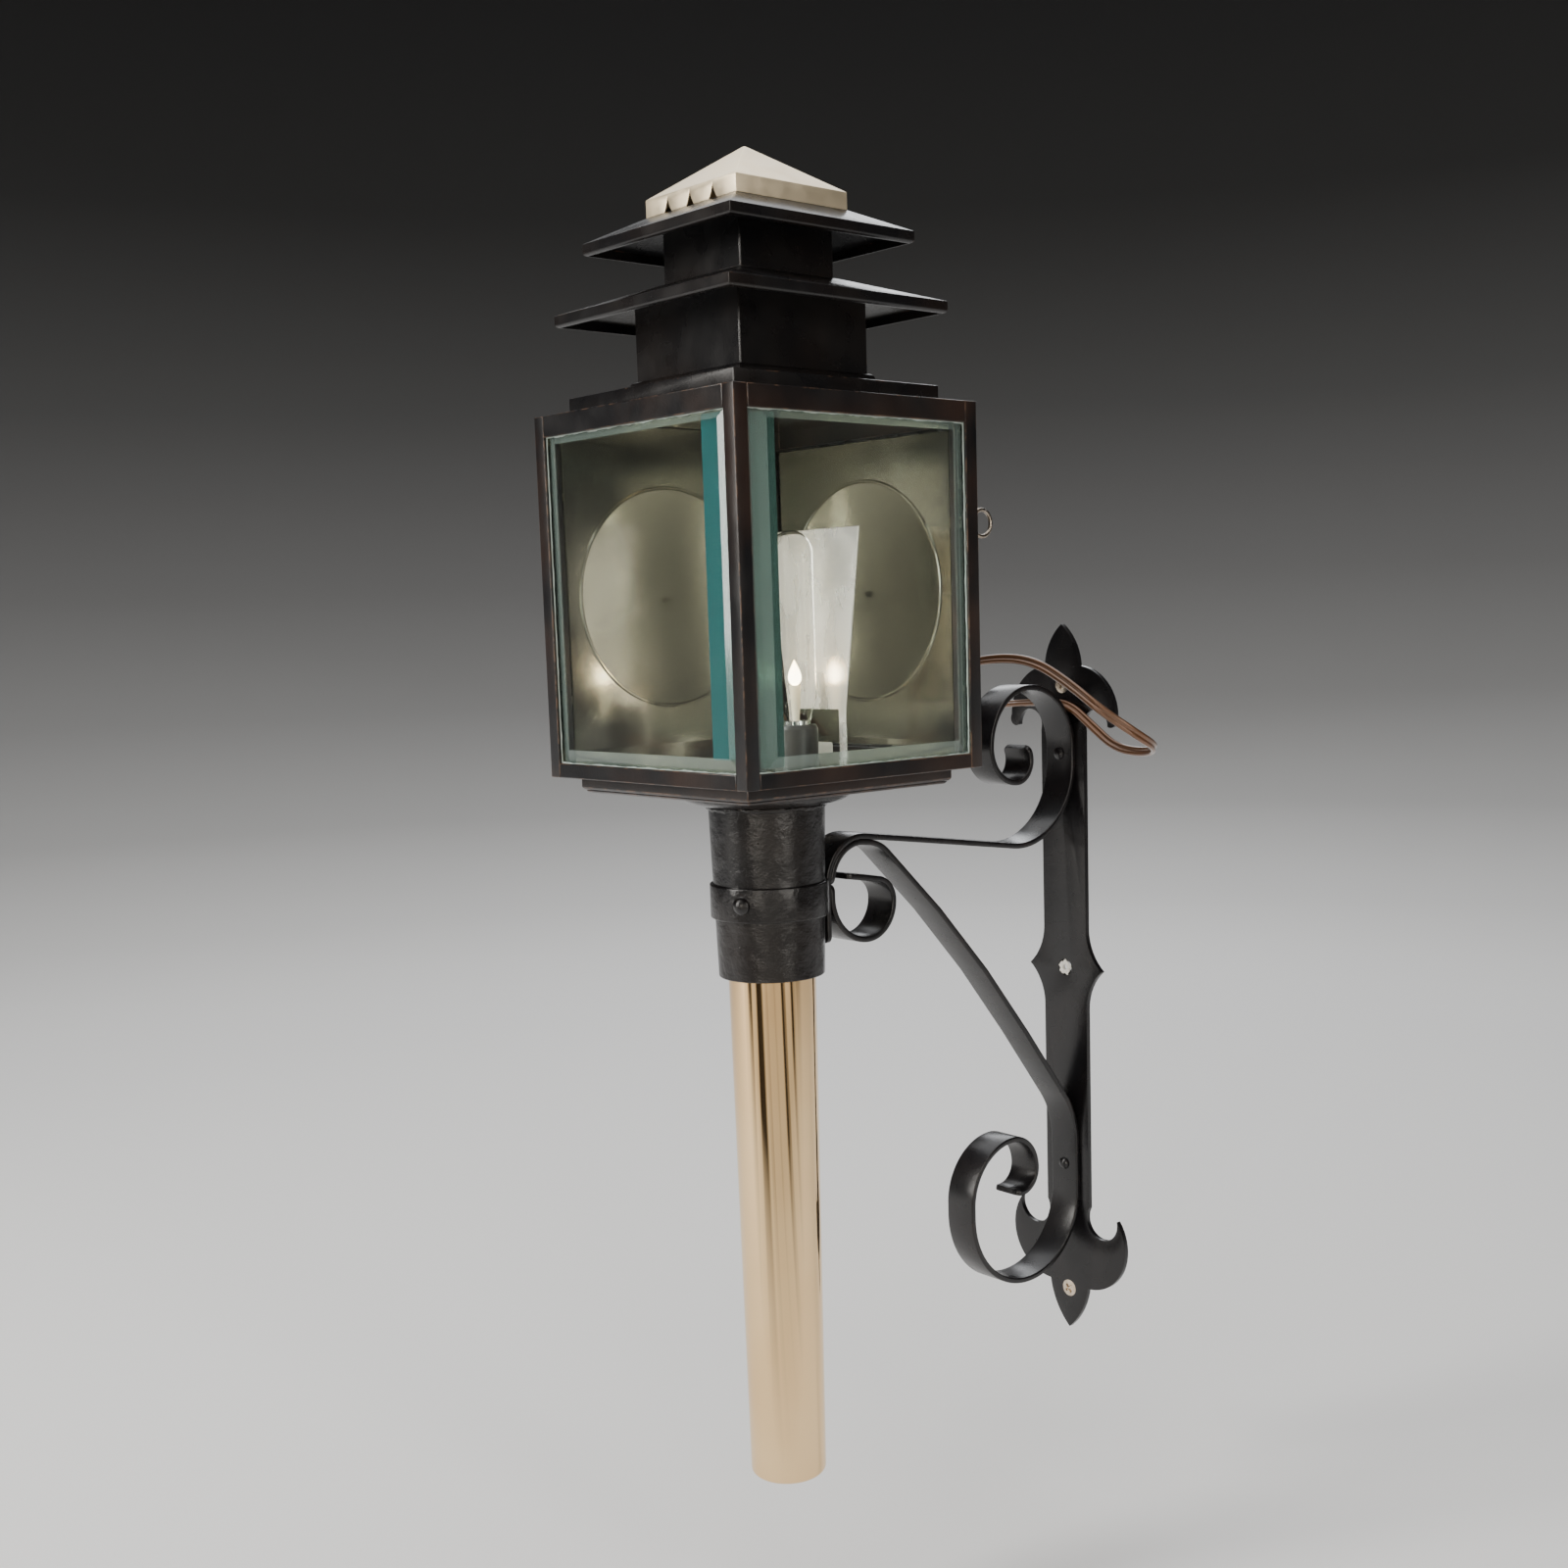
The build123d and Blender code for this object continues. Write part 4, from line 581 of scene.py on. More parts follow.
class Finishes:
    """Every finish of the lantern, built once."""

    def __init__(self, effects: Effects) -> None:
        """Build the materials.

        Args:
            effects: The shared groups.
        """
        self.sheet_paint = PaintFinish("gloss_black_sheet").build(effects)
        self.frame_paint = PaintFinish("frame_black_rubbed", tint=(0.036, 0.019, 0.013), wear=0.30,
                                       gloss=0.3, chips=0.12, strength=0.5).build(effects)
        self.iron_paint = PaintFinish("black_flat_bar", tint=(0.011, 0.0085, 0.0095),
                                      bare=(0.016, 0.012, 0.012), wear=0.24, gloss=0.24, dull=0.44,
                                      strength=0.4).build(effects)
        self.socket_paint = PaintFinish("black_socket", broad=120.0, strength=0.8, depth=0.0009, gloss=0.2,
                                        dull=0.4, wear=0.35, chips=0.1).build(effects)
        self.solder = PaintFinish("painted_solder", bare=(0.55, 0.50, 0.44), wear=0.5, chips=0.5,
                                  gloss=0.22, broad=300.0, strength=0.9).build(effects)
        self.tube_brass = MetalFinish("polished_tube_brass", (0.93, 0.66, 0.36), (0.62, 0.33, 0.12),
                                      tarnish_level=0.25, rough_low=0.03, rough_high=0.09,
                                      grime_scale=14.0, across=380.0, along=2.0, depth=0.0004,
                                      strength=0.08, broad=20.0).build(effects)
        self.cap_brass = MetalFinish("pale_cap_brass", (0.98, 0.84, 0.60), (0.80, 0.66, 0.45),
                                     tarnish_level=0.45, rough_low=0.34, rough_high=0.5, grime_scale=30.0,
                                     across=90.0, along=90.0, depth=0.0004, strength=0.2, broad=30.0,
                                     wear=0.15, metallic=0.75).build(effects)
        self.spring = MetalFinish("spring_brass", (0.60, 0.42, 0.2), (0.3, 0.2, 0.1)).build(effects)
        self.silvered = MetalFinish("silvered_sheet", (0.55, 0.53, 0.455), (0.36, 0.33, 0.26),
                                    tarnish_level=0.6, rough_low=0.12, rough_high=0.26, grime_scale=5.0,
                                    across=12.0, along=12.0, depth=0.0010, strength=0.18,
                                    broad=12.0).build(effects)
        self.mirror = MetalFinish("mirror_plate", (0.97, 0.90, 0.85), (0.88, 0.79, 0.72),
                                  tarnish_level=0.3, rough_low=0.2, rough_high=0.32, grime_scale=15.0,
                                  across=50.0, along=20.0, depth=0.0002, strength=0.12, broad=25.0,
                                  metallic=0.8).build(effects)
        self.steel = MetalFinish("dark_steel", (0.42, 0.37, 0.31), (0.2, 0.14, 0.09), tarnish_level=0.6,
                                 rough_low=0.22, rough_high=0.42, grime_scale=120.0, across=200.0,
                                 along=200.0).build(effects)
        self.screw = MetalFinish("screw_steel", (0.72, 0.62, 0.50), (0.42, 0.30, 0.18), tarnish_level=0.5,
                                 rough_low=0.2, rough_high=0.36, grime_scale=300.0, across=300.0,
                                 along=300.0).build(effects)
        self.bright = MetalFinish("bulb_cap_metal", (0.78, 0.78, 0.76), (0.5, 0.5, 0.48)).build(effects)
        self.holder = PlasticFinish("holder_black", (0.012, 0.011, 0.011), (0.05, 0.045, 0.04),
                                    rough=0.3).build(effects)
        self.nylon = PlasticFinish("off_white_nylon", (0.78, 0.76, 0.70), (0.5, 0.47, 0.42),
                                   rough=0.5).build(effects)
        self.putty = PlasticFinish("pale_putty", (0.42, 0.50, 0.47), (0.20, 0.20, 0.18),
                                   rough=0.6).build(effects)
        self.rubber = PlasticFinish("black_rubber", (0.018, 0.017, 0.016), (0.07, 0.065, 0.06),
                                    rough=0.6).build(effects)
        self.stem = PlasticFinish("ivory_stem", (0.85, 0.78, 0.62), (0.7, 0.6, 0.45), rough=0.3,
                                  translucent=0.3).build(effects)
        self.pane = GlassFinish("clear_pane", (0.93, 0.985, 0.965)).build()
        # Greener, less clear glass for the bevel faces: painted refraction colour.
        self.painted_refraction_bevel = GlassFinish("painted_refraction_pale_bevel", (0.56, 0.74, 0.68), transmission=0.86,
                                      roughness=0.10).build()
        # Teal and grey-teal band finishes behind the pane edges: painted refraction colour.
        self.painted_refraction_teal = GlassFinish("painted_refraction_teal_band", (0.010, 0.085, 0.090), transmission=0.25,
                                     roughness=0.20).build()
        self.painted_refraction_grey = GlassFinish("painted_refraction_grey_teal_band", (0.045, 0.10, 0.09), transmission=0.40,
                                     roughness=0.20).build()
        self.bulb = GlassFinish("bulb_glass", (0.985, 0.98, 0.97), ior=1.18).build()
        self.flame = GlowFinish("flame_glow", 0.190, 0.199).build()
        self.flex = FlexFinish("twin_flex").build(effects)


# ---------------------------------------------------------------- meshes
def circle(count: int) -> np.ndarray:
    """Angles that share out a full turn, the last short of the first.

    Args:
        count: Number of angles.

    Returns:
        Angles in radians.
    """
    return np.linspace(0.0, 2.0 * math.pi, count, endpoint=False)


def rows_of(*parts: np.ndarray) -> np.ndarray:
    """Put coordinates of one shape side by side, one point per row.

    Args:
        parts: The x, y and z, or the radius and height, of every point.

    Returns:
        An array of points.
    """
    return np.stack(parts, axis=-1).reshape(-1, len(parts))


def read_rows(items: bpy.types.bpy_prop_collection, name: str) -> np.ndarray:
    """Read a vector from every item of a mesh.

    Args:
        items: Vertices or polygons.
        name: The vector's attribute.

    Returns:
        One row for each item.
    """
    values = np.zeros(len(items) * 3)
    items.foreach_get(name, values)
    return values.reshape(-1, 3)


def distance_along(path: np.ndarray) -> np.ndarray:
    """Distance along a path at each of its points.

    Args:
        path: Points, one per row.

    Returns:
        Distances, the first 0.
    """
    return np.concatenate([[0.0], np.cumsum(np.linalg.norm(np.diff(path, axis=0), axis=1))])


def headings(path: np.ndarray) -> np.ndarray:
    """Unit vectors along a path.

    Args:
        path: Points, one per row.

    Returns:
        One unit vector for each point.
    """
    tangent = np.gradient(path, axis=0)
    return tangent / np.linalg.norm(tangent, axis=1, keepdims=True)


def revolve(profile: np.ndarray, centre: tuple[float, float], steps: int) -> tuple[np.ndarray, np.ndarray]:
    """Surface of revolution: each profile point (r, z) goes round the vertical axis through the centre.

    Args:
        profile: Closed loop of (radius, height) rows, the last joined to the first.
        centre: The axis's (x, y).
        steps: Points round the circle.

    Returns:
        Vertices and quad faces.
    """
    turns = circle(steps)
    radius, height = profile[:, 0][None, :], profile[:, 1][None, :]
    x = centre[0] + radius * np.cos(turns)[:, None]
    y = centre[1] + radius * np.sin(turns)[:, None]
    z = np.broadcast_to(height, x.shape)
    return rows_of(x, y, z), grid_faces(steps, len(profile), True, True)


def grid_faces(rows: int, columns: int, wrap_rows: bool, wrap_columns: bool) -> np.ndarray:
    """Quads of a grid of points, row by row: point, next in row, next in both, next row.

    Args:
        rows: Number of rows.
        columns: Points in each row.
        wrap_rows: Whether the last row joins the first.
        wrap_columns: Whether each row closes on itself.

    Returns:
        An array of quads.
    """
    i = np.arange(rows if wrap_rows else rows - 1)[:, None]
    j = np.arange(columns if wrap_columns else columns - 1)[None, :]
    i1, j1 = (i + 1) % rows, (j + 1) % columns
    quads = [i * columns + j, i1 * columns + j, i1 * columns + j1, i * columns + j1]
    return np.stack(np.broadcast_arrays(*quads), axis=-1).reshape(-1, 4)


def arc(centre: tuple[float, float], radius: float, start: float, stop: float, count: int) -> np.ndarray:
    """Points on a circle from one angle to another, in degrees.

    Args:
        centre: The circle's centre.
        radius: Its radius.
        start: First angle.
        stop: Last angle.
        count: Number of points.

    Returns:
        An array of points.
    """
    angle = np.radians(np.linspace(start, stop, count))
    return rows_of(centre[0] + radius * np.cos(angle), centre[1] + radius * np.sin(angle))


def frames_along(path: np.ndarray) -> tuple[np.ndarray, np.ndarray]:
    """Side and up of a path: the side stays level and the up is square to it and to the path.

    Args:
        path: Points, one per row.

    Returns:
        Two arrays of unit vectors.
    """
    tangent = headings(path)
    side = np.cross(tangent, np.array([0.0, 0.0, 1.0]))
    side /= np.maximum(np.linalg.norm(side, axis=1, keepdims=True), 1e-9)
    return side, np.cross(side, tangent)


def sweep_closed(path: np.ndarray, side: np.ndarray, up: np.ndarray, section: np.ndarray,
                 widths: np.ndarray | None = None) -> tuple[np.ndarray, list]:
    """Profile carried along a path: each section point (a, b) sits at path + a*width*side + b*up.

    Args:
        path: Points, one per row.
        side: Unit vectors for the section's first coordinate.
        up: Unit vectors for its second.
        section: Closed loop of (a, b) rows.
        widths: Factor on the first coordinate at each point.

    Returns:
        Vertices and faces.
    """
    factor = np.ones(len(path)) if widths is None else widths
    points = (path[:, None, :] + side[:, None, :] * (factor[:, None] * section[None, :, 0])[..., None]
              + up[:, None, :] * section[None, :, 1][..., None])
    faces = grid_faces(len(path), len(section), False, True).tolist()
    last = (len(path) - 1) * len(section)
    faces.append(list(range(len(section))))
    faces.append([last + k for k in reversed(range(len(section)))])
    return points.reshape(-1, 3), faces


def add_object(name: str, data: bpy.types.ID) -> bpy.types.Object:
    """Link a new object to the scene.

    Args:
        name: The object's name.
        data: Its mesh, curve, lamp or camera.

    Returns:
        The new object.
    """
    thing = bpy.data.objects.new(name, data)
    bpy.context.scene.collection.objects.link(thing)
    return thing


def add_piece(name: str, work: bmesh.types.BMesh, body: Body,
              material: bpy.types.Material) -> bpy.types.Object:
    """Turn a worked mesh into a piece that rides on a body.

    Args:
        name: The piece's name.
        work: The worked mesh, which is freed.
        body: The body that it rides on.
        material: Its material.

    Returns:
        The new object.
    """
    mesh = bpy.data.meshes.new(name)
    work.to_mesh(mesh)
    work.free()
    piece = add_object(name, mesh)
    mesh.materials.append(material)
    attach(piece, body.value)
    LOG.info("piece %s", name)
    return piece


def make_piece(name: str, verts: np.ndarray, faces: np.ndarray | list, body: Body,
               material: bpy.types.Material, smooth_below: float = 35.0) -> bpy.types.Object:
    """Make a mesh object, turn its faces outwards, and let it ride on a body.

    Args:
        name: The piece's name.
        verts: Vertices in metres.
        faces: Faces.
        body: The body that it rides on.
        material: Its material.
        smooth_below: Edges sharper than this angle in degrees stay hard.

    Returns:
        The new object.
    """
    mesh = bpy.data.meshes.new("raw_" + name)
    mesh.from_pydata(np.asarray(verts, float).tolist(), [], [list(map(int, f)) for f in faces])
    work = bmesh.new()
    work.from_mesh(mesh)
    bpy.data.meshes.remove(mesh)
    bmesh.ops.remove_doubles(work, verts=work.verts, dist=1e-7)
    bmesh.ops.recalc_face_normals(work, faces=work.faces)
    harden(work, smooth_below)
    return add_piece(name, work, body, material)


def harden(work: bmesh.types.BMesh, limit: float) -> None:
    """Smooth every face, and keep the edges that are sharper than a limit hard.

    Args:
        work: The mesh being worked on.
        limit: Angle in degrees.
    """
    for face in work.faces:
        face.smooth = True
    for edge in work.edges:
        edge.smooth = len(edge.link_faces) == 2 and edge.calc_face_angle(0.0) < math.radians(limit)


def filed_copy(node: str, body: Body, material: bpy.types.Material, width: float,
               segments: int = 2, crease: float = 28.0) -> bpy.types.Object:
    """Copy of a CAD node with its sharp edges filed round, each new facet marked by the edge attribute.

    Args:
        node: The CAD node.
        body: The body that it rides on.
        material: Its material.
        width: Width of the filed edge in metres.
        segments: Facets across it.
        crease: Edges sharper than this angle in degrees are filed.

    Returns:
        The new object.
    """
    work = bmesh.new()
    work.from_mesh(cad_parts[node].data)
    bmesh.ops.remove_doubles(work, verts=work.verts, dist=2e-6)
    bmesh.ops.dissolve_limit(work, angle_limit=math.radians(0.4), verts=work.verts, edges=work.edges)
    layer = work.faces.layers.float.new("edge")
    limit = math.radians(crease)
    sharp = [e for e in work.edges if len(e.link_faces) == 2 and e.calc_face_angle(0.0) > limit]
    made = bmesh.ops.bevel(work, geom=sharp, offset=width, offset_type="OFFSET", segments=segments,
                           profile=0.5, affect="EDGES", clamp_overlap=True)
    for face in made["faces"]:
        face[layer] = 1.0
    bmesh.ops.triangulate(work, faces=[f for f in work.faces if len(f.verts) > 4])
    harden(work, 22.0)
    piece = add_piece(node + "_filed", work, body, material)
    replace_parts(piece, node)
    return piece


def dress(node: str, material: bpy.types.Material) -> None:
    """Give a carried-over CAD node its material.

    Args:
        node: The CAD node.
        material: Its material.
    """
    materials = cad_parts[node].data.materials
    materials.clear()
    materials.append(material)


def face_material(piece: bpy.types.Object, material: bpy.types.Material, way: Point,
                  limits: tuple[tuple[float, float], tuple[float, float], tuple[float, float]]) -> None:
    """Give a second material to the faces that look one way inside a box.

    Args:
        piece: The object.
        material: The second material.
        way: Unit vector that the faces look along.
        limits: Low and high of each coordinate of the face's centre.
    """
    mesh = piece.data
    mesh.materials.append(material)
    normals, centres = read_rows(mesh.polygons, "normal"), read_rows(mesh.polygons, "center")
    low, high = np.array(limits).T
    chosen = (normals @ np.array(way) > 0.9) & np.all((centres >= low) & (centres <= high), axis=1)
    index = np.zeros(len(mesh.polygons), np.int32)
    mesh.polygons.foreach_get("material_index", index)
    index[chosen] = len(mesh.materials) - 1
    mesh.polygons.foreach_set("material_index", index)


# ---------------------------------------------------------------- studio
@dataclass
class Studio:
    """Camera, a round paper sweep of floor and wall, and soft lamps."""

    camera_at: Point = (0.6730, -0.7826, 0.2143)
    yaw: float = 48.14
    pitch: float = 7.56
    roll: float = 1.68
    lens: float = 41.71
    shift: tuple[float, float] = (-0.0306, 0.0506)
    floor_z: float = -0.30
    floor_r: float = 1.6
    bend_r: float = 2.2
    wall_top: float = 3.8
    dark_from_z: float = 1.7
    camera_side: Point = (0.745, -0.667, 0.0)
    # Grey stops of the painted shade up the wall: height share and grey.
    painted_falloff_ramp: tuple[tuple[float, float], ...] = ((0.03, 0.66), (0.09, 0.42), (0.18, 0.28), (0.30, 0.19),
                                             (0.5, 0.105), (0.75, 0.05))

    def set_camera(self) -> None:
        """Place the camera: heading by yaw, then pitch down, then roll about its own axis."""
        yaw, pitch, roll = (math.radians(a) for a in (self.yaw, self.pitch, self.roll))
        ahead = math.cos(pitch)
        forward = np.array([-math.sin(yaw) * ahead, math.cos(yaw) * ahead, -math.sin(pitch)])
        right = np.array([math.cos(yaw), math.sin(yaw), 0.0])
        down = np.cross(forward, right)
        turned_right = math.cos(roll) * right + math.sin(roll) * down
        turned_down = -math.sin(roll) * right + math.cos(roll) * down
        data = bpy.data.cameras.new("studio_camera")
        data.sensor_width = 36.0
        data.lens = self.lens
        data.shift_x, data.shift_y = self.shift
        data.clip_start = 0.01
        camera = add_object("studio_camera", data)
        axes = np.stack([turned_right, -turned_down, -forward], axis=1)
        rows = [[*axes[row], self.camera_at[row]] for row in range(3)]
        camera.matrix_world = Matrix(rows + [[0, 0, 0, 1]])
        bpy.context.scene.camera = camera

    def set_floor(self) -> None:
        """Lay a round floor whose rim bends up into a wall: one profile turned about the lantern's axis."""
        flat = rows_of(np.linspace(0.0, self.floor_r, 24), np.full(24, self.floor_z))
        bend = arc((self.floor_r, self.floor_z + self.bend_r), self.bend_r, -90.0, 0.0, 24)
        rise = rows_of(np.full(16, self.floor_r + self.bend_r),
                       np.linspace(self.floor_z + self.bend_r, self.wall_top, 16))
        profile = np.concatenate([flat, bend[1:], rise[1:]])
        steps = 128
        verts, _ = revolve(profile, (0.0, AXIS_Y), steps)
        mesh = bpy.data.meshes.new("studio_sweep")
        mesh.from_pydata(verts.tolist(), [], grid_faces(steps, len(profile), True, False)[:, ::-1].tolist())
        mesh.polygons.foreach_set("use_smooth", np.ones(len(mesh.polygons), bool))
        mesh.materials.append(self.floor_material())
        add_object("studio_sweep", mesh)

    def floor_material(self) -> bpy.types.Material:
        """Matt paper with painted light: pale on the floor, painted shade darkening it up the wall, and on
        the camera's side dark and pale bands painted as a reflection backdrop for the tube.

        Returns:
            The material.
        """
        material, sketch, shader, _ = new_material("studio_paper")
        place = (sketch.add("ShaderNodeTexCoord"), "Object")
        # Grey scale by height: painted shade, the paper darkening up the wall where the light falls off.
        painted_falloff_ramp = sketch.add("ShaderNodeValToRGB")
        stops = painted_falloff_ramp.color_ramp.elements
        stops[0].position, stops[0].color = 0.0, (0.86, 0.86, 0.86, 1.0)
        stops[1].position, stops[1].color = 1.0, (0.035, 0.035, 0.036, 1.0)
        for where, grey in self.painted_falloff_ramp:
            stops.new(where).color = (grey, grey, grey, 1.0)
        rise = sketch.spread(sketch.height(place), 0.0, 1.0, self.floor_z, self.dark_from_z)
        sketch.feed(rise, painted_falloff_ramp, "Fac")
        # Dark and pale bands round the camera's side: painted stand-ins for dark flags and bright strips that
        # the tube reflects.
        side = sketch.add("ShaderNodeVectorMath", {"operation": "DOT_PRODUCT"}, {1: self.camera_side})
        sketch.feed(place, side, 0)
        level = sketch.add("ShaderNodeVectorMath", {"operation": "MULTIPLY"}, {1: (1.0, 1.0, 0.0)})
        sketch.feed(place, level, 0)
        around = sketch.add("ShaderNodeVectorMath", {"operation": "NORMALIZE"})
        sketch.feed((level, "Vector"), around, 0)
        bands = sketch.spread(sketch.noise((around, "Vector"), 3.2, 2.0), 0.0, 1.0, 0.44, 0.56)
        painted_reflection_bands = sketch.mix((0.012, 0.010, 0.008), (0.52, 0.50, 0.46), bands)
        near = sketch.spread((side, "Value"), 0.0, 1.0, 0.35, 0.9)
        sketch.fill(shader, {"Base Color": sketch.mix((painted_falloff_ramp, "Color"), painted_reflection_bands, near), "Roughness": 0.9,
                             "Specular IOR Level": 0.1})
        return material

    def lamp(self, name: str, place: Point, size: tuple[float, float], power: float,
             colour: Colour) -> None:
        """Hang a rectangular soft lamp that looks at the lantern.

        Args:
            name: The lamp's name.
            place: Where it is.
            size: Its width and height.
            power: Its power in watts.
            colour: Its colour.
        """
        data = bpy.data.lights.new(name, "AREA")
        data.shape = "RECTANGLE"
        data.size, data.size_y = size
        data.energy = power
        data.color = colour
        lamp = add_object(name, data)
        back = np.array(place) - np.array([0.0, AXIS_Y, 0.10])
        back /= np.linalg.norm(back)
        right = np.cross([0.0, 0.0, 1.0], back)
        right /= np.linalg.norm(right)
        up = np.cross(back, right)
        rows = [[right[i], up[i], back[i], place[i]] for i in range(3)]
        lamp.matrix_world = Matrix(rows + [[0, 0, 0, 1]])

    def set_lamps(self) -> None:
        """Set the key, fill, strip and top lamps and a dim grey world."""
        self.lamp("key", (-0.75, -2.1, 0.95), (0.5, 1.7), 44.0, (1.0, 0.97, 0.92))
        self.lamp("fill", (2.1, -0.35, 0.5), (0.45, 1.6), 15.0, (1.0, 0.95, 0.88))
        self.lamp("strip_low", (0.80, -2.1, -0.05), (0.05, 1.6), 8.0, (1.0, 0.93, 0.82))
        self.lamp("strip_mid", (1.20, -1.85, -0.05), (0.03, 1.6), 4.0, (1.0, 0.93, 0.82))
        self.lamp("strip_side", (1.85, -1.15, -0.05), (0.04, 1.6), 4.0, (1.0, 0.92, 0.80))
        self.lamp("top", (0.5, -0.9, 2.3), (2.2, 2.2), 34.0, (1.0, 0.98, 0.95))
        self.lamp("sweep", (-0.9, 0.7, 2.4), (2.4, 2.4), 34.0, (0.98, 0.99, 1.0))
        self.lamp("back", (-1.4, 1.5, 1.1), (0.8, 0.9), 9.0, (0.95, 0.97, 1.0))
        world = bpy.data.worlds.new("studio_world")
        bpy.context.scene.world = world
        world.use_nodes = True
        background = world.node_tree.nodes["Background"]
        background.inputs["Color"].default_value = (0.5, 0.5, 0.52, 1.0)
        background.inputs["Strength"].default_value = 0.35


# ---------------------------------------------------------------- flex
@dataclass
class Flex:
    """Twin flex outside the lantern, and the round flex inside it."""

    diameter: float = 0.0052
    core_r: float = 0.0013
    length: float = 0.536
    route: list[Point] = field(default_factory=lambda: [
        (-100.4, -165, 165), (-121, -164.6, 164.6), (-139, -151, 165.4), (-145, -128, 167.3),
        (-131, -105, 170.5), (-107, -93, 174), (-80, -85, 178), (-53, -78.5, 182), (-26, -71, 186.5),
        (2, -63, 193), (27, -57.5, 191.5), (50, -55, 179), (68, -51, 165), (81, -36.5, 151.5),
        (78, -17, 143.5), (61, -7.6, 140), (41, -6.9, 142), (24, -6.6, 154), (7, -6.4, 166),
        (-14, -6.5, 166.2), (-38, -6.8, 165), (-61, -7.2, 161.5), (-84, -6.8, 156), (-103, -6.4, 149)])

    def centre_line(self) -> np.ndarray:
        """Read points off a smooth NURBS spline whose control points are the route.

        Returns:
            Points in metres, one per row.
        """
        curve = bpy.data.curves.new("flex_route", "CURVE")
        curve.dimensions = "3D"
        spline = curve.splines.new("NURBS")
        spline.points.add(len(self.route) - 1)
        places = np.ones((len(self.route), 4))
        places[:, :3] = np.array(self.route) * MM
        spline.points.foreach_set("co", places.ravel())
        spline.order_u = 3
        spline.use_endpoint_u = True
        spline.resolution_u = 10
        guide = add_object("flex_route", curve)
        mesh = bpy.data.meshes.new_from_object(guide)
        points = read_rows(mesh.vertices, "co")
        bpy.data.objects.remove(guide)
        bpy.data.meshes.remove(mesh)
        bpy.data.curves.remove(curve)
        return points

    def section(self) -> np.ndarray:
        """Two circles side by side, joined where they touch: a figure of eight drawn as one loop.

        Returns:
            Closed loop of (across, thickness) rows.
        """
        right = arc((self.core_r, 0.0), self.core_r, -150.0, 150.0, 15)
        left = arc((-self.core_r, 0.0), self.core_r, 30.0, 330.0, 15)
        return np.concatenate([right, left])

    def build(self, finishes: Finishes) -> None:
        """Make the flex: the figure of eight turns slowly as it goes along.

        Args:
            finishes: The lantern's materials.
        """
        path = self.centre_line()
        side, up = frames_along(path)
        run = distance_along(path)
        lean = 1.35 + 0.9 * np.sin(run / run[-1] * 5.0)
        across = side * np.cos(lean)[:, None] + up * np.sin(lean)[:, None]
        thick = -side * np.sin(lean)[:, None] + up * np.cos(lean)[:, None]
        verts, faces = sweep_closed(path, across, thick, self.section())
        piece = make_piece("twin_flex_cord", verts, faces, Body.LANTERN, finishes.flex, 60.0)
        self.lay_uv(piece, path, run)
        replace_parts(piece, "flex_cord")
        dress("inner_flex", finishes.flex)
        dress("flex_connector", finishes.nylon)

    def lay_uv(self, piece: bpy.types.Object, path: np.ndarray, run: np.ndarray) -> None:
        """Give the flex a map of distance along it and place across it.

        Args:
            piece: The flex.
            path: Its centre line.
            run: Distance along the centre line at each of its points.
        """
        mesh = piece.data
        co = read_rows(mesh.vertices, "co")
        gaps = np.linalg.norm(co[:, None, :] - path[None, :, :], axis=2)
        nearest = gaps.argmin(axis=1)
        index = np.zeros(len(mesh.loops), np.int32)
        mesh.loops.foreach_get("vertex_index", index)
        offset = (co - path[nearest])[:, 2] / self.diameter
        uv = np.stack([run[nearest][index] * 40.0, offset[index]], axis=-1)
        mesh.uv_layers.new(name="along_round").data.foreach_set("uv", uv.ravel().astype(np.float32))


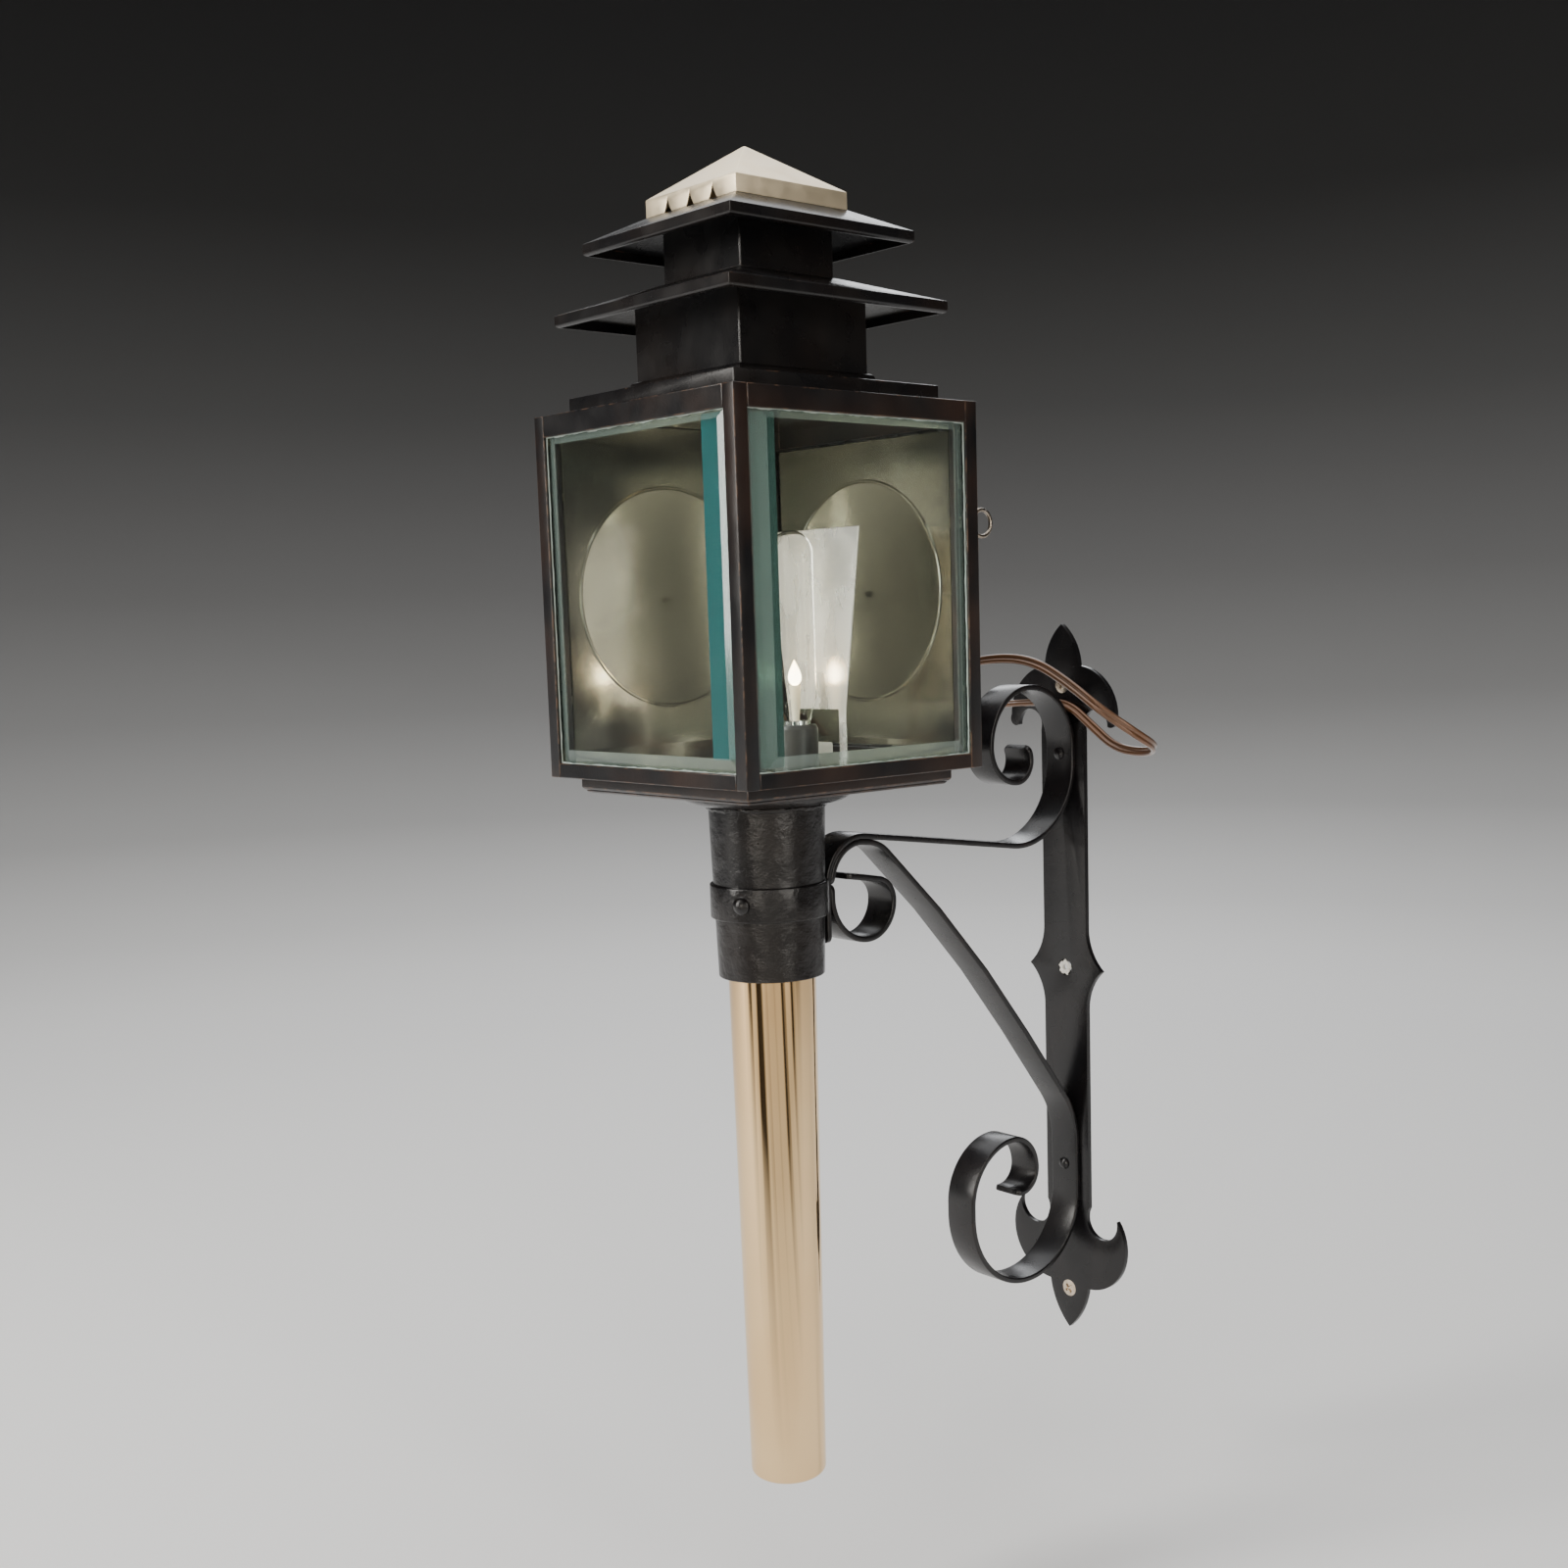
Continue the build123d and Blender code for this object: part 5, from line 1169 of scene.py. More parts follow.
# ---------------------------------------------------------------- bracket
@dataclass
class FlatBar:
    """Bent flat bar in the plane x = 0, drawn as straight runs and tangent arcs."""

    name: str
    y: float
    z: float
    heading: float
    width: float = 19.0
    thickness: float = 3.0
    corner: float = 0.8
    tip: float = 3.5
    points: list = field(default_factory=list)

    def run(self, length: float) -> "FlatBar":
        """Go straight on.

        Args:
            length: How far, in millimetres.

        Returns:
            The bar itself.
        """
        way = math.radians(self.heading)
        share = np.linspace(0.0, 1.0, max(2, int(length / 3.0)))[:, None]
        line = np.array([self.y, self.z]) + share * length * np.array([math.cos(way), math.sin(way)])
        self.points.append(line)
        self.y, self.z = line[-1]
        return self

    def bend(self, radius: float, turn: float) -> "FlatBar":
        """Turn on an arc.

        Args:
            radius: The arc's radius in millimetres.
            turn: Its angle in degrees, positive to the left.

        Returns:
            The bar itself.
        """
        side = 1.0 if turn > 0 else -1.0
        start = math.radians(self.heading)
        angle = start + np.radians(turn) * np.linspace(0.0, 1.0, max(4, int(abs(turn) / 3.0)))
        y = self.y + side * radius * (np.sin(angle) - math.sin(start))
        z = self.z - side * radius * (np.cos(angle) - math.cos(start))
        self.points.append(np.stack([y, z], axis=-1))
        self.y, self.z = y[-1], z[-1]
        self.heading += turn
        return self

    def path(self) -> np.ndarray:
        """Centre line in metres, with repeated points dropped and closer points near both ends.

        Returns:
            Points, one per row.
        """
        line = np.concatenate(self.points)
        keep = np.concatenate([[True], np.linalg.norm(np.diff(line, axis=0), axis=1) > 1e-4])
        line = line[keep]
        run = distance_along(line)
        ends = self.tip * (1.0 - np.cos(np.linspace(0.0, math.pi / 2.0, 8)))
        inner = run[(run > self.tip) & (run < run[-1] - self.tip)]
        along = np.unique(np.concatenate([ends, inner, run[-1] - ends]))
        y, z = np.interp(along, run, line[:, 0]), np.interp(along, run, line[:, 1])
        return np.stack([np.zeros_like(y), y, z], axis=-1) * MM

    def section(self) -> np.ndarray:
        """Rectangle of the bar with rounded corners.

        Returns:
            Closed loop of (across, thickness) rows in metres.
        """
        a, b, r = self.width / 2.0 - self.corner, self.thickness / 2.0 - self.corner, self.corner
        corners = [arc((a, b), r, 0, 90, 4), arc((-a, b), r, 90, 180, 4), arc((-a, -b), r, 180, 270, 4),
                   arc((a, -b), r, 270, 360, 4)]
        return np.concatenate(corners) * MM

    def build(self, material: bpy.types.Material) -> bpy.types.Object:
        """Make the bar: its width shrinks on a quarter circle at both ends.

        Args:
            material: Its material.

        Returns:
            The bar.
        """
        path = self.path()
        side = np.tile([1.0, 0.0, 0.0], (len(path), 1))
        up = np.cross(headings(path), side)
        run = distance_along(path) / MM
        from_end = np.minimum(run, run[-1] - run).clip(0.0, self.tip)
        drop = self.tip - np.sqrt(np.maximum(self.tip**2 - (self.tip - from_end) ** 2, 0.0))
        widths = 1.0 - drop / (self.width / 2.0)
        verts, faces = sweep_closed(path, side, up, self.section(), widths)
        piece = make_piece(self.name, verts, faces, Body.LANTERN, material, 40.0)
        self.mark_edges(piece)
        return piece

    def mark_edges(self, piece: bpy.types.Object) -> None:
        """Set the edge attribute to 1 on the faces round the bar's corners.

        Args:
            piece: The bar.
        """
        mesh = piece.data
        across = np.abs(read_rows(mesh.polygons, "center")[:, 0])
        near = (across > (self.width / 2.0 - self.corner - 0.3) * MM) & (across < self.width / 2.0 * MM)
        layer = mesh.attributes.new("edge", "FLOAT", "FACE")
        layer.data.foreach_set("value", near.astype(np.float32))


@dataclass
class Bracket:
    """Wall plate, both straps with their scrolls, the rivets and the wall screws."""

    upper_y: float = -190.6
    lower_y: float = -187.6
    arch_z: float = 85.0
    arch_r: float = 22.5
    fall: float = -8.5
    plate_y: float = -4.5
    arm_bend: float = 43.5
    screw_z: float = 0.176
    star_z: float = 0.015
    head_r: float = 0.0048
    head_rise: float = 0.0004
    recess_half: float = 0.0028
    recess_depth: float = 0.0011
    plate_t: float = 0.003

    def upper(self) -> FlatBar:
        """Arm from the clamp to the wall plate with the upper scroll.

        Returns:
            The drawn bar.
        """
        bar = FlatBar("upper_strap_bar", self.upper_y, self.arch_z - 29.0, 90.0)
        bar.run(29.0).bend(self.arch_r, self.fall - 90.0)
        reach = self.arm_bend * (1.0 - math.sin(math.radians(self.fall)))
        bar.run((self.plate_y - reach - bar.y) / math.cos(math.radians(self.fall)))
        bar.bend(self.arm_bend, 90.0 - self.fall)
        bar.run(141.0 - bar.z)
        return bar.bend(35.0, 90).bend(31.0, 90).bend(20.0, 90).bend(11.5, 130)

    def brace(self) -> FlatBar:
        """Brace from the clamp down to the wall plate with the lower scroll.

        Returns:
            The drawn bar.
        """
        bar = FlatBar("lower_strap_bar", self.lower_y, self.arch_z, 90.0)
        bar.bend(self.arch_r - 3.0, self.fall - 90.0).run(4.0).bend(22.0, -33.5).bend(800.0, -11.0)
        reach = 50.0 * (1.0 - math.sin(math.radians(-bar.heading)))
        bar.run((self.plate_y - reach - bar.y) / math.cos(math.radians(bar.heading)))
        bar.bend(50.0, -90.0 - bar.heading)
        bar.run(bar.z + 114.0)
        return bar.bend(42.0, -90).bend(45.0, -90).run(6.0).bend(32.0, -90).bend(20.0, -90).bend(12.0, -110)

    def curl(self) -> FlatBar:
        """Small curl below the arch.

        Returns:
            The drawn bar.
        """
        bar = FlatBar("small_curl_bar", self.lower_y, self.arch_z, -90.0)
        return bar.run(6.4).bend(24.0, 90).bend(18.0, 90).bend(12.0, 80).run(22.5)

    def head(self, name: str, z: float, turn: float, material: bpy.types.Material) -> bpy.types.Object:
        """Screw head on a polar grid: a low dome with a cross recess, closed by a cone behind.

        Args:
            name: The piece's name.
            z: Its height.
            turn: The recess's turn in degrees.
            material: Its material.

        Returns:
            The screw head.
        """
        rings = np.concatenate([np.linspace(0.0, 1.0, 26)[1:], [0.93, 0.55]])
        angle = circle(96)
        r, a = np.meshgrid(rings * self.head_r, angle)
        level = np.tile(np.concatenate([np.zeros(25), [1.0, 2.0]]), (len(angle), 1))
        u = np.abs(r * np.cos(a + math.radians(turn)))
        v = np.abs(r * np.sin(a + math.radians(turn)))
        arm = 0.13 * self.head_r
        sunk = ((u < arm) & (v < self.recess_half)) | ((v < arm) & (u < self.recess_half))
        dome = self.head_rise * (1.0 - (r / self.head_r) ** 2) - self.recess_depth * sunk
        out = np.where(level == 0.0, dome, np.where(level == 1.0, -0.0006, -0.0022))
        face_y = -self.plate_t + 0.00012
        points = rows_of(r * np.cos(a), face_y - out, z + r * np.sin(a))
        faces = grid_faces(len(angle), len(rings), True, False).tolist()
        count = len(rings)
        faces.append([k * count for k in range(len(angle))])
        faces.append([k * count + count - 1 for k in reversed(range(len(angle)))])
        return make_piece(name, points, faces, Body.LANTERN, material, 30.0)

    def plug(self, material: bpy.types.Material) -> bpy.types.Object:
        """Ragged wall plug in the middle hole: a low ring whose outline wanders with the angle.

        Args:
            material: Its material.

        Returns:
            The plug.
        """
        angle = circle(90)
        wander = (1.0 + 0.10 * np.sin(5 * angle + 0.6) + 0.07 * np.sin(9 * angle)
                  + 0.04 * np.sin(17 * angle + 2.0))
        rings = np.array([0.0013, 0.0016, 0.0026, 0.0036, 0.0041, 0.0036, 0.0013])
        heights = np.array([-0.0010, 0.0004, 0.0009, 0.0007, 0.0001, -0.0008, -0.0012])
        r = rings[None, :] * np.where(rings > 0.002, wander[:, None], 1.0)
        x, z = r * np.cos(angle)[:, None], self.star_z + r * np.sin(angle)[:, None]
        y = np.broadcast_to(-self.plate_t - heights[None, :], x.shape)
        faces = grid_faces(len(angle), len(rings), True, True)
        return make_piece("wall_plug", rows_of(x, y, z), faces, Body.LANTERN, material)

    def build(self, finishes: Finishes) -> None:
        """Make and place every piece of the bracket.

        Args:
            finishes: The lantern's materials.
        """
        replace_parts(self.upper().build(finishes.iron_paint), "upper_strap")
        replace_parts(self.brace().build(finishes.iron_paint), "lower_strap")
        self.curl().build(finishes.iron_paint)
        filed_copy("wall_plate", Body.LANTERN, finishes.iron_paint, 0.0006, 3)
        dress("plate_rivets", finishes.iron_paint)
        dress("clamp_rivet", finishes.iron_paint)
        for index, turn in enumerate((20.0, 52.0)):
            z = self.screw_z * (1 - 2 * index)
            self.head(f"wall_screw_{index + 1}", z, turn, finishes.screw)
        self.plug(finishes.nylon)


# ---------------------------------------------------------------- socket and tube
@dataclass
class Socket:
    """Domed flange, tapered socket, clamp band and candle tube."""

    dome_r: float = 0.0425
    dome_top: float = 0.1357
    top_r: float = 0.0284
    mouth_r: float = 0.0260
    wall: float = 0.0012
    tube_r: float = 0.0215
    tube_end_r: float = 0.0190
    tube_wall: float = 0.0009
    corner: float = 0.0030
    band_h: float = 0.0165
    band_t: float = 0.0019

    def radius_at(self, z: float) -> float:
        """Outside radius of the socket at a height.

        Args:
            z: The height.

        Returns:
            The radius.
        """
        share = (z - FERRULE_MOUTH) / (FERRULE_TOP - FERRULE_MOUTH)
        return self.mouth_r + share * (self.top_r - self.mouth_r)

    def turned(self, name: str, node: str, profile: np.ndarray, body: Body,
               material: bpy.types.Material, steps: int = 128) -> None:
        """Turn a profile about the lantern's axis and let it stand for a CAD node.

        Args:
            name: The piece's name.
            node: The CAD node.
            profile: Closed loop of (radius, height) rows.
            body: The body that it rides on.
            material: Its material.
            steps: Points round the circle.
        """
        verts, faces = revolve(profile, (0.0, AXIS_Y), steps)
        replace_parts(make_piece(name, verts, faces, body, material), node)

    def dome_profile(self) -> np.ndarray:
        """Flange section: a flat rim that swells out and turns in to the socket.

        Returns:
            Closed loop of (radius, height) rows.
        """
        share = np.linspace(0.0, 1.0, 20)
        outer_r = self.dome_r - (self.dome_r - self.top_r) * share**2.2
        outer_z = self.dome_top - (self.dome_top - FERRULE_TOP) * np.sin(share * math.pi / 2.0) ** 1.1
        inner_z = np.minimum(outer_z[::-1] + self.wall, self.dome_top)
        return np.concatenate([rows_of(outer_r, outer_z), rows_of(outer_r[::-1] - self.wall, inner_z)])

    def solder_bead(self, material: bpy.types.Material) -> bpy.types.Object:
        """Lumpy bead where socket meets flange: a small ring whose thickness and height wander.

        Args:
            material: Its material.

        Returns:
            The bead.
        """
        turns, ring = circle(180), circle(12)
        lump = (1.0 + 0.30 * np.sin(7 * turns) + 0.22 * np.sin(13 * turns + 1.0)
                + 0.15 * np.sin(31 * turns + 2.0))
        r = self.top_r + 0.0010 * lump[:, None] * np.cos(ring)[None, :]
        z = FERRULE_TOP - 0.0010 + 0.0013 * lump[:, None] * np.sin(ring)[None, :]
        x, y = r * np.cos(turns)[:, None], AXIS_Y + r * np.sin(turns)[:, None]
        faces = grid_faces(len(turns), len(ring), True, True)
        return make_piece("solder_bead", rows_of(x, y, z), faces, Body.LANTERN, material)

    def band_profile(self) -> np.ndarray:
        """Section of the clamp band with rounded outer corners.

        Returns:
            Closed loop of (radius, height) rows.
        """
        low, high = BAND_Z - self.band_h / 2.0, BAND_Z + self.band_h / 2.0
        outer = self.radius_at(BAND_Z) + self.band_t
        r = 0.0007
        lower = arc((outer - r, low + r), r, -90, 0, 5)
        upper = arc((outer - r, high - r), r, 0, 90, 5)
        inner = np.array([[self.radius_at(high), high], [self.radius_at(low), low]])
        return np.concatenate([lower, upper, inner])

    def tube_profile(self) -> np.ndarray:
        """Section of the candle tube: straight in the socket, tapering below it.

        Returns:
            Closed loop of (radius, height) rows.
        """
        end = TUBE_BOTTOM + self.corner
        taper = np.linspace(0.0, 1.0, 40)
        outer = rows_of(self.tube_end_r + (self.tube_r - self.tube_end_r) * taper,
                        end + (FERRULE_MOUTH - end) * taper)
        inner = outer[::-1] - np.array([self.tube_wall, 0.0])
        tops = np.array([[self.tube_r, TUBE_TOP], [self.tube_r - self.tube_wall, TUBE_TOP]])
        return np.concatenate([outer, tops, inner])

    def cap_profile(self) -> np.ndarray:
        """Section of the tube's pressed end with its rounded rim and a slightly hollow middle.

        Returns:
            Closed loop of (radius, height) rows.
        """
        rim = arc((self.tube_end_r - self.corner, TUBE_BOTTOM + self.corner), self.corner, -90, 0, 10)
        hollow_r = np.linspace(0.0, self.tube_end_r - self.corner, 10)[:-1]
        hollow_z = TUBE_BOTTOM + 0.0004 * (1.0 - (hollow_r / hollow_r[-1]) ** 2)
        under = rows_of(hollow_r, hollow_z)
        inside = np.array([[self.tube_end_r - self.tube_wall, TUBE_BOTTOM + self.corner],
                           [self.tube_end_r - self.corner, TUBE_BOTTOM + self.tube_wall + 0.0004],
                           [0.0, TUBE_BOTTOM + self.tube_wall + 0.0004]])
        return np.concatenate([under, rim, inside])

    def build(self, finishes: Finishes) -> None:
        """Make the socket and the tube.

        Args:
            finishes: The lantern's materials.
        """
        paint = finishes.socket_paint
        self.turned("domed_flange", "socket_dome", self.dome_profile(), Body.LANTERN, paint)
        lip = 0.0004
        ferrule = np.array([
            [self.mouth_r - self.wall, FERRULE_MOUTH + lip], [self.mouth_r - self.wall + lip, FERRULE_MOUTH],
            [self.mouth_r - lip, FERRULE_MOUTH], [self.mouth_r, FERRULE_MOUTH + lip],
            [self.radius_at(0.086), 0.086], [self.top_r, FERRULE_TOP], [self.top_r - self.wall, FERRULE_TOP]])
        self.turned("tapered_socket", "socket_ferrule", ferrule, Body.LANTERN, paint)
        self.turned("clamp_band_ring", "clamp_band", self.band_profile(), Body.LANTERN,
                    paint)
        self.solder_bead(finishes.solder)
        filed_copy("clamp_screw", Body.LANTERN, paint, 0.0003)
        dress("spring_sleeve", finishes.spring)
        self.turned("brass_candle_tube", "candle_tube", self.tube_profile(), Body.TUBE,
                    finishes.tube_brass, 160)
        self.turned("brass_tube_end", "tube_end_cap", self.cap_profile(), Body.TUBE,
                    finishes.tube_brass, 160)


# ---------------------------------------------------------------- case
@dataclass
class Case:
    """Corner posts, rails, floor, ceiling, left wall and base tray."""

    edge: float = 0.0005

    def build(self, finishes: Finishes) -> None:
        """File the frame's edges and dress its sheets.

        Args:
            finishes: The lantern's materials.
        """
        for place in ("front_left", "front_right", "rear_left", "rear_right"):
            filed_copy(f"post_{place}", Body.LANTERN, finishes.frame_paint, self.edge, 3)
        for node in ("bottom_rails", "top_rails", "base_tray"):
            filed_copy(node, Body.LANTERN, finishes.frame_paint, self.edge, 2)
        for node in ("front_glass_bead", "side_glass_bead"):
            filed_copy(node, Body.LANTERN, finishes.frame_paint, 0.0003, 2)
        wall = filed_copy("left_wall", Body.LANTERN, finishes.sheet_paint, 0.0003, 1)
        everywhere = ((-1.0, 1.0), (-1.0, 1.0), (-1.0, 1.0))
        face_material(wall, finishes.silvered, (1.0, 0.0, 0.0), everywhere)
        for node in ("case_floor", "ceiling_plate"):
            dress(node, finishes.silvered)


@dataclass
class Pane:
    """Bevelled pane: a slab whose outer face slopes down to its edges, the bevels in a greener, less clear
    glass that paints on the refraction colour of a bevel.
    """

    name: str
    node: str
    corner: Point
    along: Point
    outward: Point
    length: float
    height: float
    bevel: float = 0.012
    thickness: float = 0.005
    edge: float = 0.0025

    def build(self, finishes: Finishes) -> bpy.types.Object:
        """Make the pane from three loops of four points: back, edge and crown.

        Args:
            finishes: The lantern's materials.

        Returns:
            The pane.
        """
        origin, u = np.array(self.corner), np.array(self.along)
        w, n = np.array([0.0, 0.0, 1.0]), np.array(self.outward)
        outline = np.array([[0, 0], [self.length, 0], [self.length, self.height], [0, self.height]], float)
        inward = np.array([[1, 1], [-1, 1], [-1, -1], [1, -1]], float)
        loops = [(outline, 0.0), (outline, self.edge), (outline + self.bevel * inward, self.thickness)]
        points = np.concatenate([origin + l[:, :1] * u + l[:, 1:] * w + t * n for l, t in loops])
        faces = [[3, 2, 1, 0]]
        faces += [[k, (k + 1) % 4, 4 + (k + 1) % 4, 4 + k] for k in range(4)]
        faces += [[4 + k, 4 + (k + 1) % 4, 8 + (k + 1) % 4, 8 + k] for k in range(4)]
        faces.append([8, 9, 10, 11])
        piece = make_piece(self.name, points, faces, Body.LANTERN, finishes.pane, 5.0)
        mesh = piece.data
        # Sloping bevel faces take a greener, rougher glass: painted refraction colour.
        mesh.materials.append(finishes.painted_refraction_bevel)
        depth = (read_rows(mesh.polygons, "center") - origin) @ n
        sloping = (depth > self.edge + 1e-4) & (depth < self.thickness - 1e-4)
        mesh.polygons.foreach_set("material_index", sloping.astype(np.int32))
        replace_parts(piece, self.node)
        return piece


@dataclass
class Glazing:
    """Both bevelled panes and the putty line round each."""

    low: float = 0.1450
    high: float = 0.3130
    back_y: float = -0.2871
    side_x: float = 0.0681
    side_y: float = -0.2868
    rear_y: float = -0.1501
    half: float = 0.0731

    def putty(self, name: str, corner: Point, along: Point,
              outward: Point, length: float, height: float,
              material: bpy.types.Material) -> bpy.types.Object:
        """Thin wandering fillet of putty along the inside of a rectangle: a half-round on a closed path.

        Args:
            name: The piece's name.
            corner: Lower start of the rectangle.
            along: Unit vector along its foot.
            outward: Unit vector out of the pane.
            length: Its length.
            height: Its height.
            material: Its material.

        Returns:
            The putty.
        """
        count = 70
        side = np.linspace(0.0, 1.0, count, endpoint=False)
        still = np.zeros(count)
        flat = np.concatenate([rows_of(side * length, still), rows_of(still + length, side * height),
                               rows_of((1 - side) * length, still + height),
                               rows_of(still, (1 - side) * height)])
        step = np.arange(len(flat))
        wander = (0.55 + 0.25 * np.sin(step * 0.9) + 0.2 * np.sin(step * 0.37 + 1.0)
                  + 0.2 * np.sin(step * 2.3))
        centre = np.array([length / 2.0, height / 2.0])
        inward = np.sign(centre - flat) * np.where(np.abs(np.abs(flat - centre) - centre) < 1e-9, 1.0, 0.0)
        turns = circle(8)
        size = 0.0007 * wander.clip(0.15, 1.3)
        u = flat[:, None, 0] + inward[:, None, 0] * size[:, None] * np.cos(turns)[None, :]
        v = flat[:, None, 1] + inward[:, None, 1] * size[:, None] * np.cos(turns)[None, :]
        t = 0.00035 * np.sin(turns)[None, :] * np.ones((len(flat), 1))
        origin, ua, na = np.array(corner), np.array(along), np.array(outward)
        points = origin + u[..., None] * ua + v[..., None] * np.array([0, 0, 1.0]) + t[..., None] * na
        faces = grid_faces(len(flat), 8, True, True)
        return make_piece(name, points.reshape(-1, 3), faces, Body.LANTERN, material, 60.0)

    def band(self, name: str, low: Point, high: Point,
             material: bpy.types.Material) -> bpy.types.Object:
        """Tinted band behind a pane's edge, a painted stand-in for the teal that the bevel shows by
        refraction: a thin upright slab.

        Args:
            name: The piece's name.
            low: Its lowest corner.
            high: Its highest corner.
            material: Its material.

        Returns:
            The band.
        """
        ends = np.array([low, high])
        pick = np.array([[i, j, k] for i in (0, 1) for j in (0, 1) for k in (0, 1)])
        verts = ends[pick, np.arange(3)]
        faces = [[0, 1, 3, 2], [4, 6, 7, 5], [0, 4, 5, 1], [2, 3, 7, 6], [0, 2, 6, 4], [1, 5, 7, 3]]
        return make_piece(name, verts, faces, Body.LANTERN, material, 5.0)

    def build(self, finishes: Finishes) -> None:
        """Make both panes and their putty.

        Args:
            finishes: The lantern's materials.
        """
        height = self.high - self.low
        Pane("front_pane", "front_glass", (-self.half, self.back_y, self.low), (1, 0, 0), (0, -1, 0),
             2 * self.half, height).build(finishes)
        Pane("side_pane", "side_glass", (self.side_x, self.side_y, self.low), (0, 1, 0), (1, 0, 0),
             self.rear_y - self.side_y, height).build(finishes)
        low, high = self.low + 0.0115, self.high - 0.0095
        # Bands behind the pane edges: painted refraction colour.
        self.band("front_painted_refraction_band", (0.0470, self.back_y + 0.0001, low),
                  (0.0648, self.back_y + 0.0009, high), finishes.painted_refraction_teal)
        self.band("side_painted_refraction_band", (self.side_x - 0.0009, self.side_y + 0.0039, low - 0.004),
                  (self.side_x - 0.0001, self.side_y + 0.0185, high), finishes.painted_refraction_grey)
        foot, top = CASE_Z + 0.0070, CASE_TOP - 0.0100
        self.putty("front_putty", (-0.0675, -0.2923, foot), (1, 0, 0), (0, -1, 0), 0.135, top - foot,
                   finishes.putty)
        self.putty("side_putty", (0.0733, FRONT_Y + 0.0075, foot), (0, 1, 0), (1, 0, 0), 0.131, top - foot,
                   finishes.putty)


@dataclass
class Reflectors:
    """Square reflector plates and the bright bead round each dish."""

    dish_r: float = 0.054
    bead_r: float = 0.0009
    side_x: float = -0.0664
    door_y: float = -0.1554

    def bead(self, name: str, body: Body, centre: Point, axis: int,
             material: bpy.types.Material) -> bpy.types.Object:
        """Round bead on the rim of a dish: a small ring about the X or Y axis.

        Args:
            name: The piece's name.
            body: The body that it rides on.
            centre: The dish's centre.
            axis: 0 for a ring about X, 1 about Y.
            material: Its material.

        Returns:
            The bead.
        """
        turns, ring = circle(144), circle(10)
        r = self.dish_r + self.bead_r * np.cos(ring)[None, :]
        a, b = r * np.cos(turns)[:, None], r * np.sin(turns)[:, None]
        c = np.broadcast_to(self.bead_r * np.sin(ring)[None, :], a.shape)
        order = (c, a, b) if axis == 0 else (a, c, b)
        faces = grid_faces(len(turns), len(ring), True, True)
        return make_piece(name, rows_of(*order) + np.array(centre), faces, body, material)

    def build(self, finishes: Finishes) -> None:
        """Dress the reflectors and add their beads.

        Args:
            finishes: The lantern's materials.
        """
        for node in ("side_reflector", "door_reflector"):
            dress(node, finishes.silvered)
        for node in ("side_reflector_studs", "door_reflector_studs"):
            dress(node, finishes.steel)
        self.bead("side_dish_bead", Body.LANTERN, (self.side_x, AXIS_Y, CASE_MID_Z), 0, finishes.silvered)
        self.bead("door_dish_bead", Body.DOOR, (0.0, self.door_y, CASE_MID_Z), 1, finishes.silvered)


@dataclass
class Roof:
    """Roof pan, necks, louvres, flue and brass cap."""

    def build(self, finishes: Finishes) -> None:
        """File the roof's sheets.

        Args:
            finishes: The lantern's materials.
        """
        for node, width in (("roof_pan", 0.0005), ("lower_neck", 0.0008), ("lower_louvre", 0.0005),
                            ("upper_neck", 0.0008), ("upper_louvre", 0.0005)):
            filed_copy(node, Body.LANTERN, finishes.sheet_paint, width, 2)
        dress("neck_bead", finishes.sheet_paint)
        dress("inner_chimney", finishes.silvered)
        filed_copy("vent_cap", Body.LANTERN, finishes.cap_brass, 0.0005, 3)


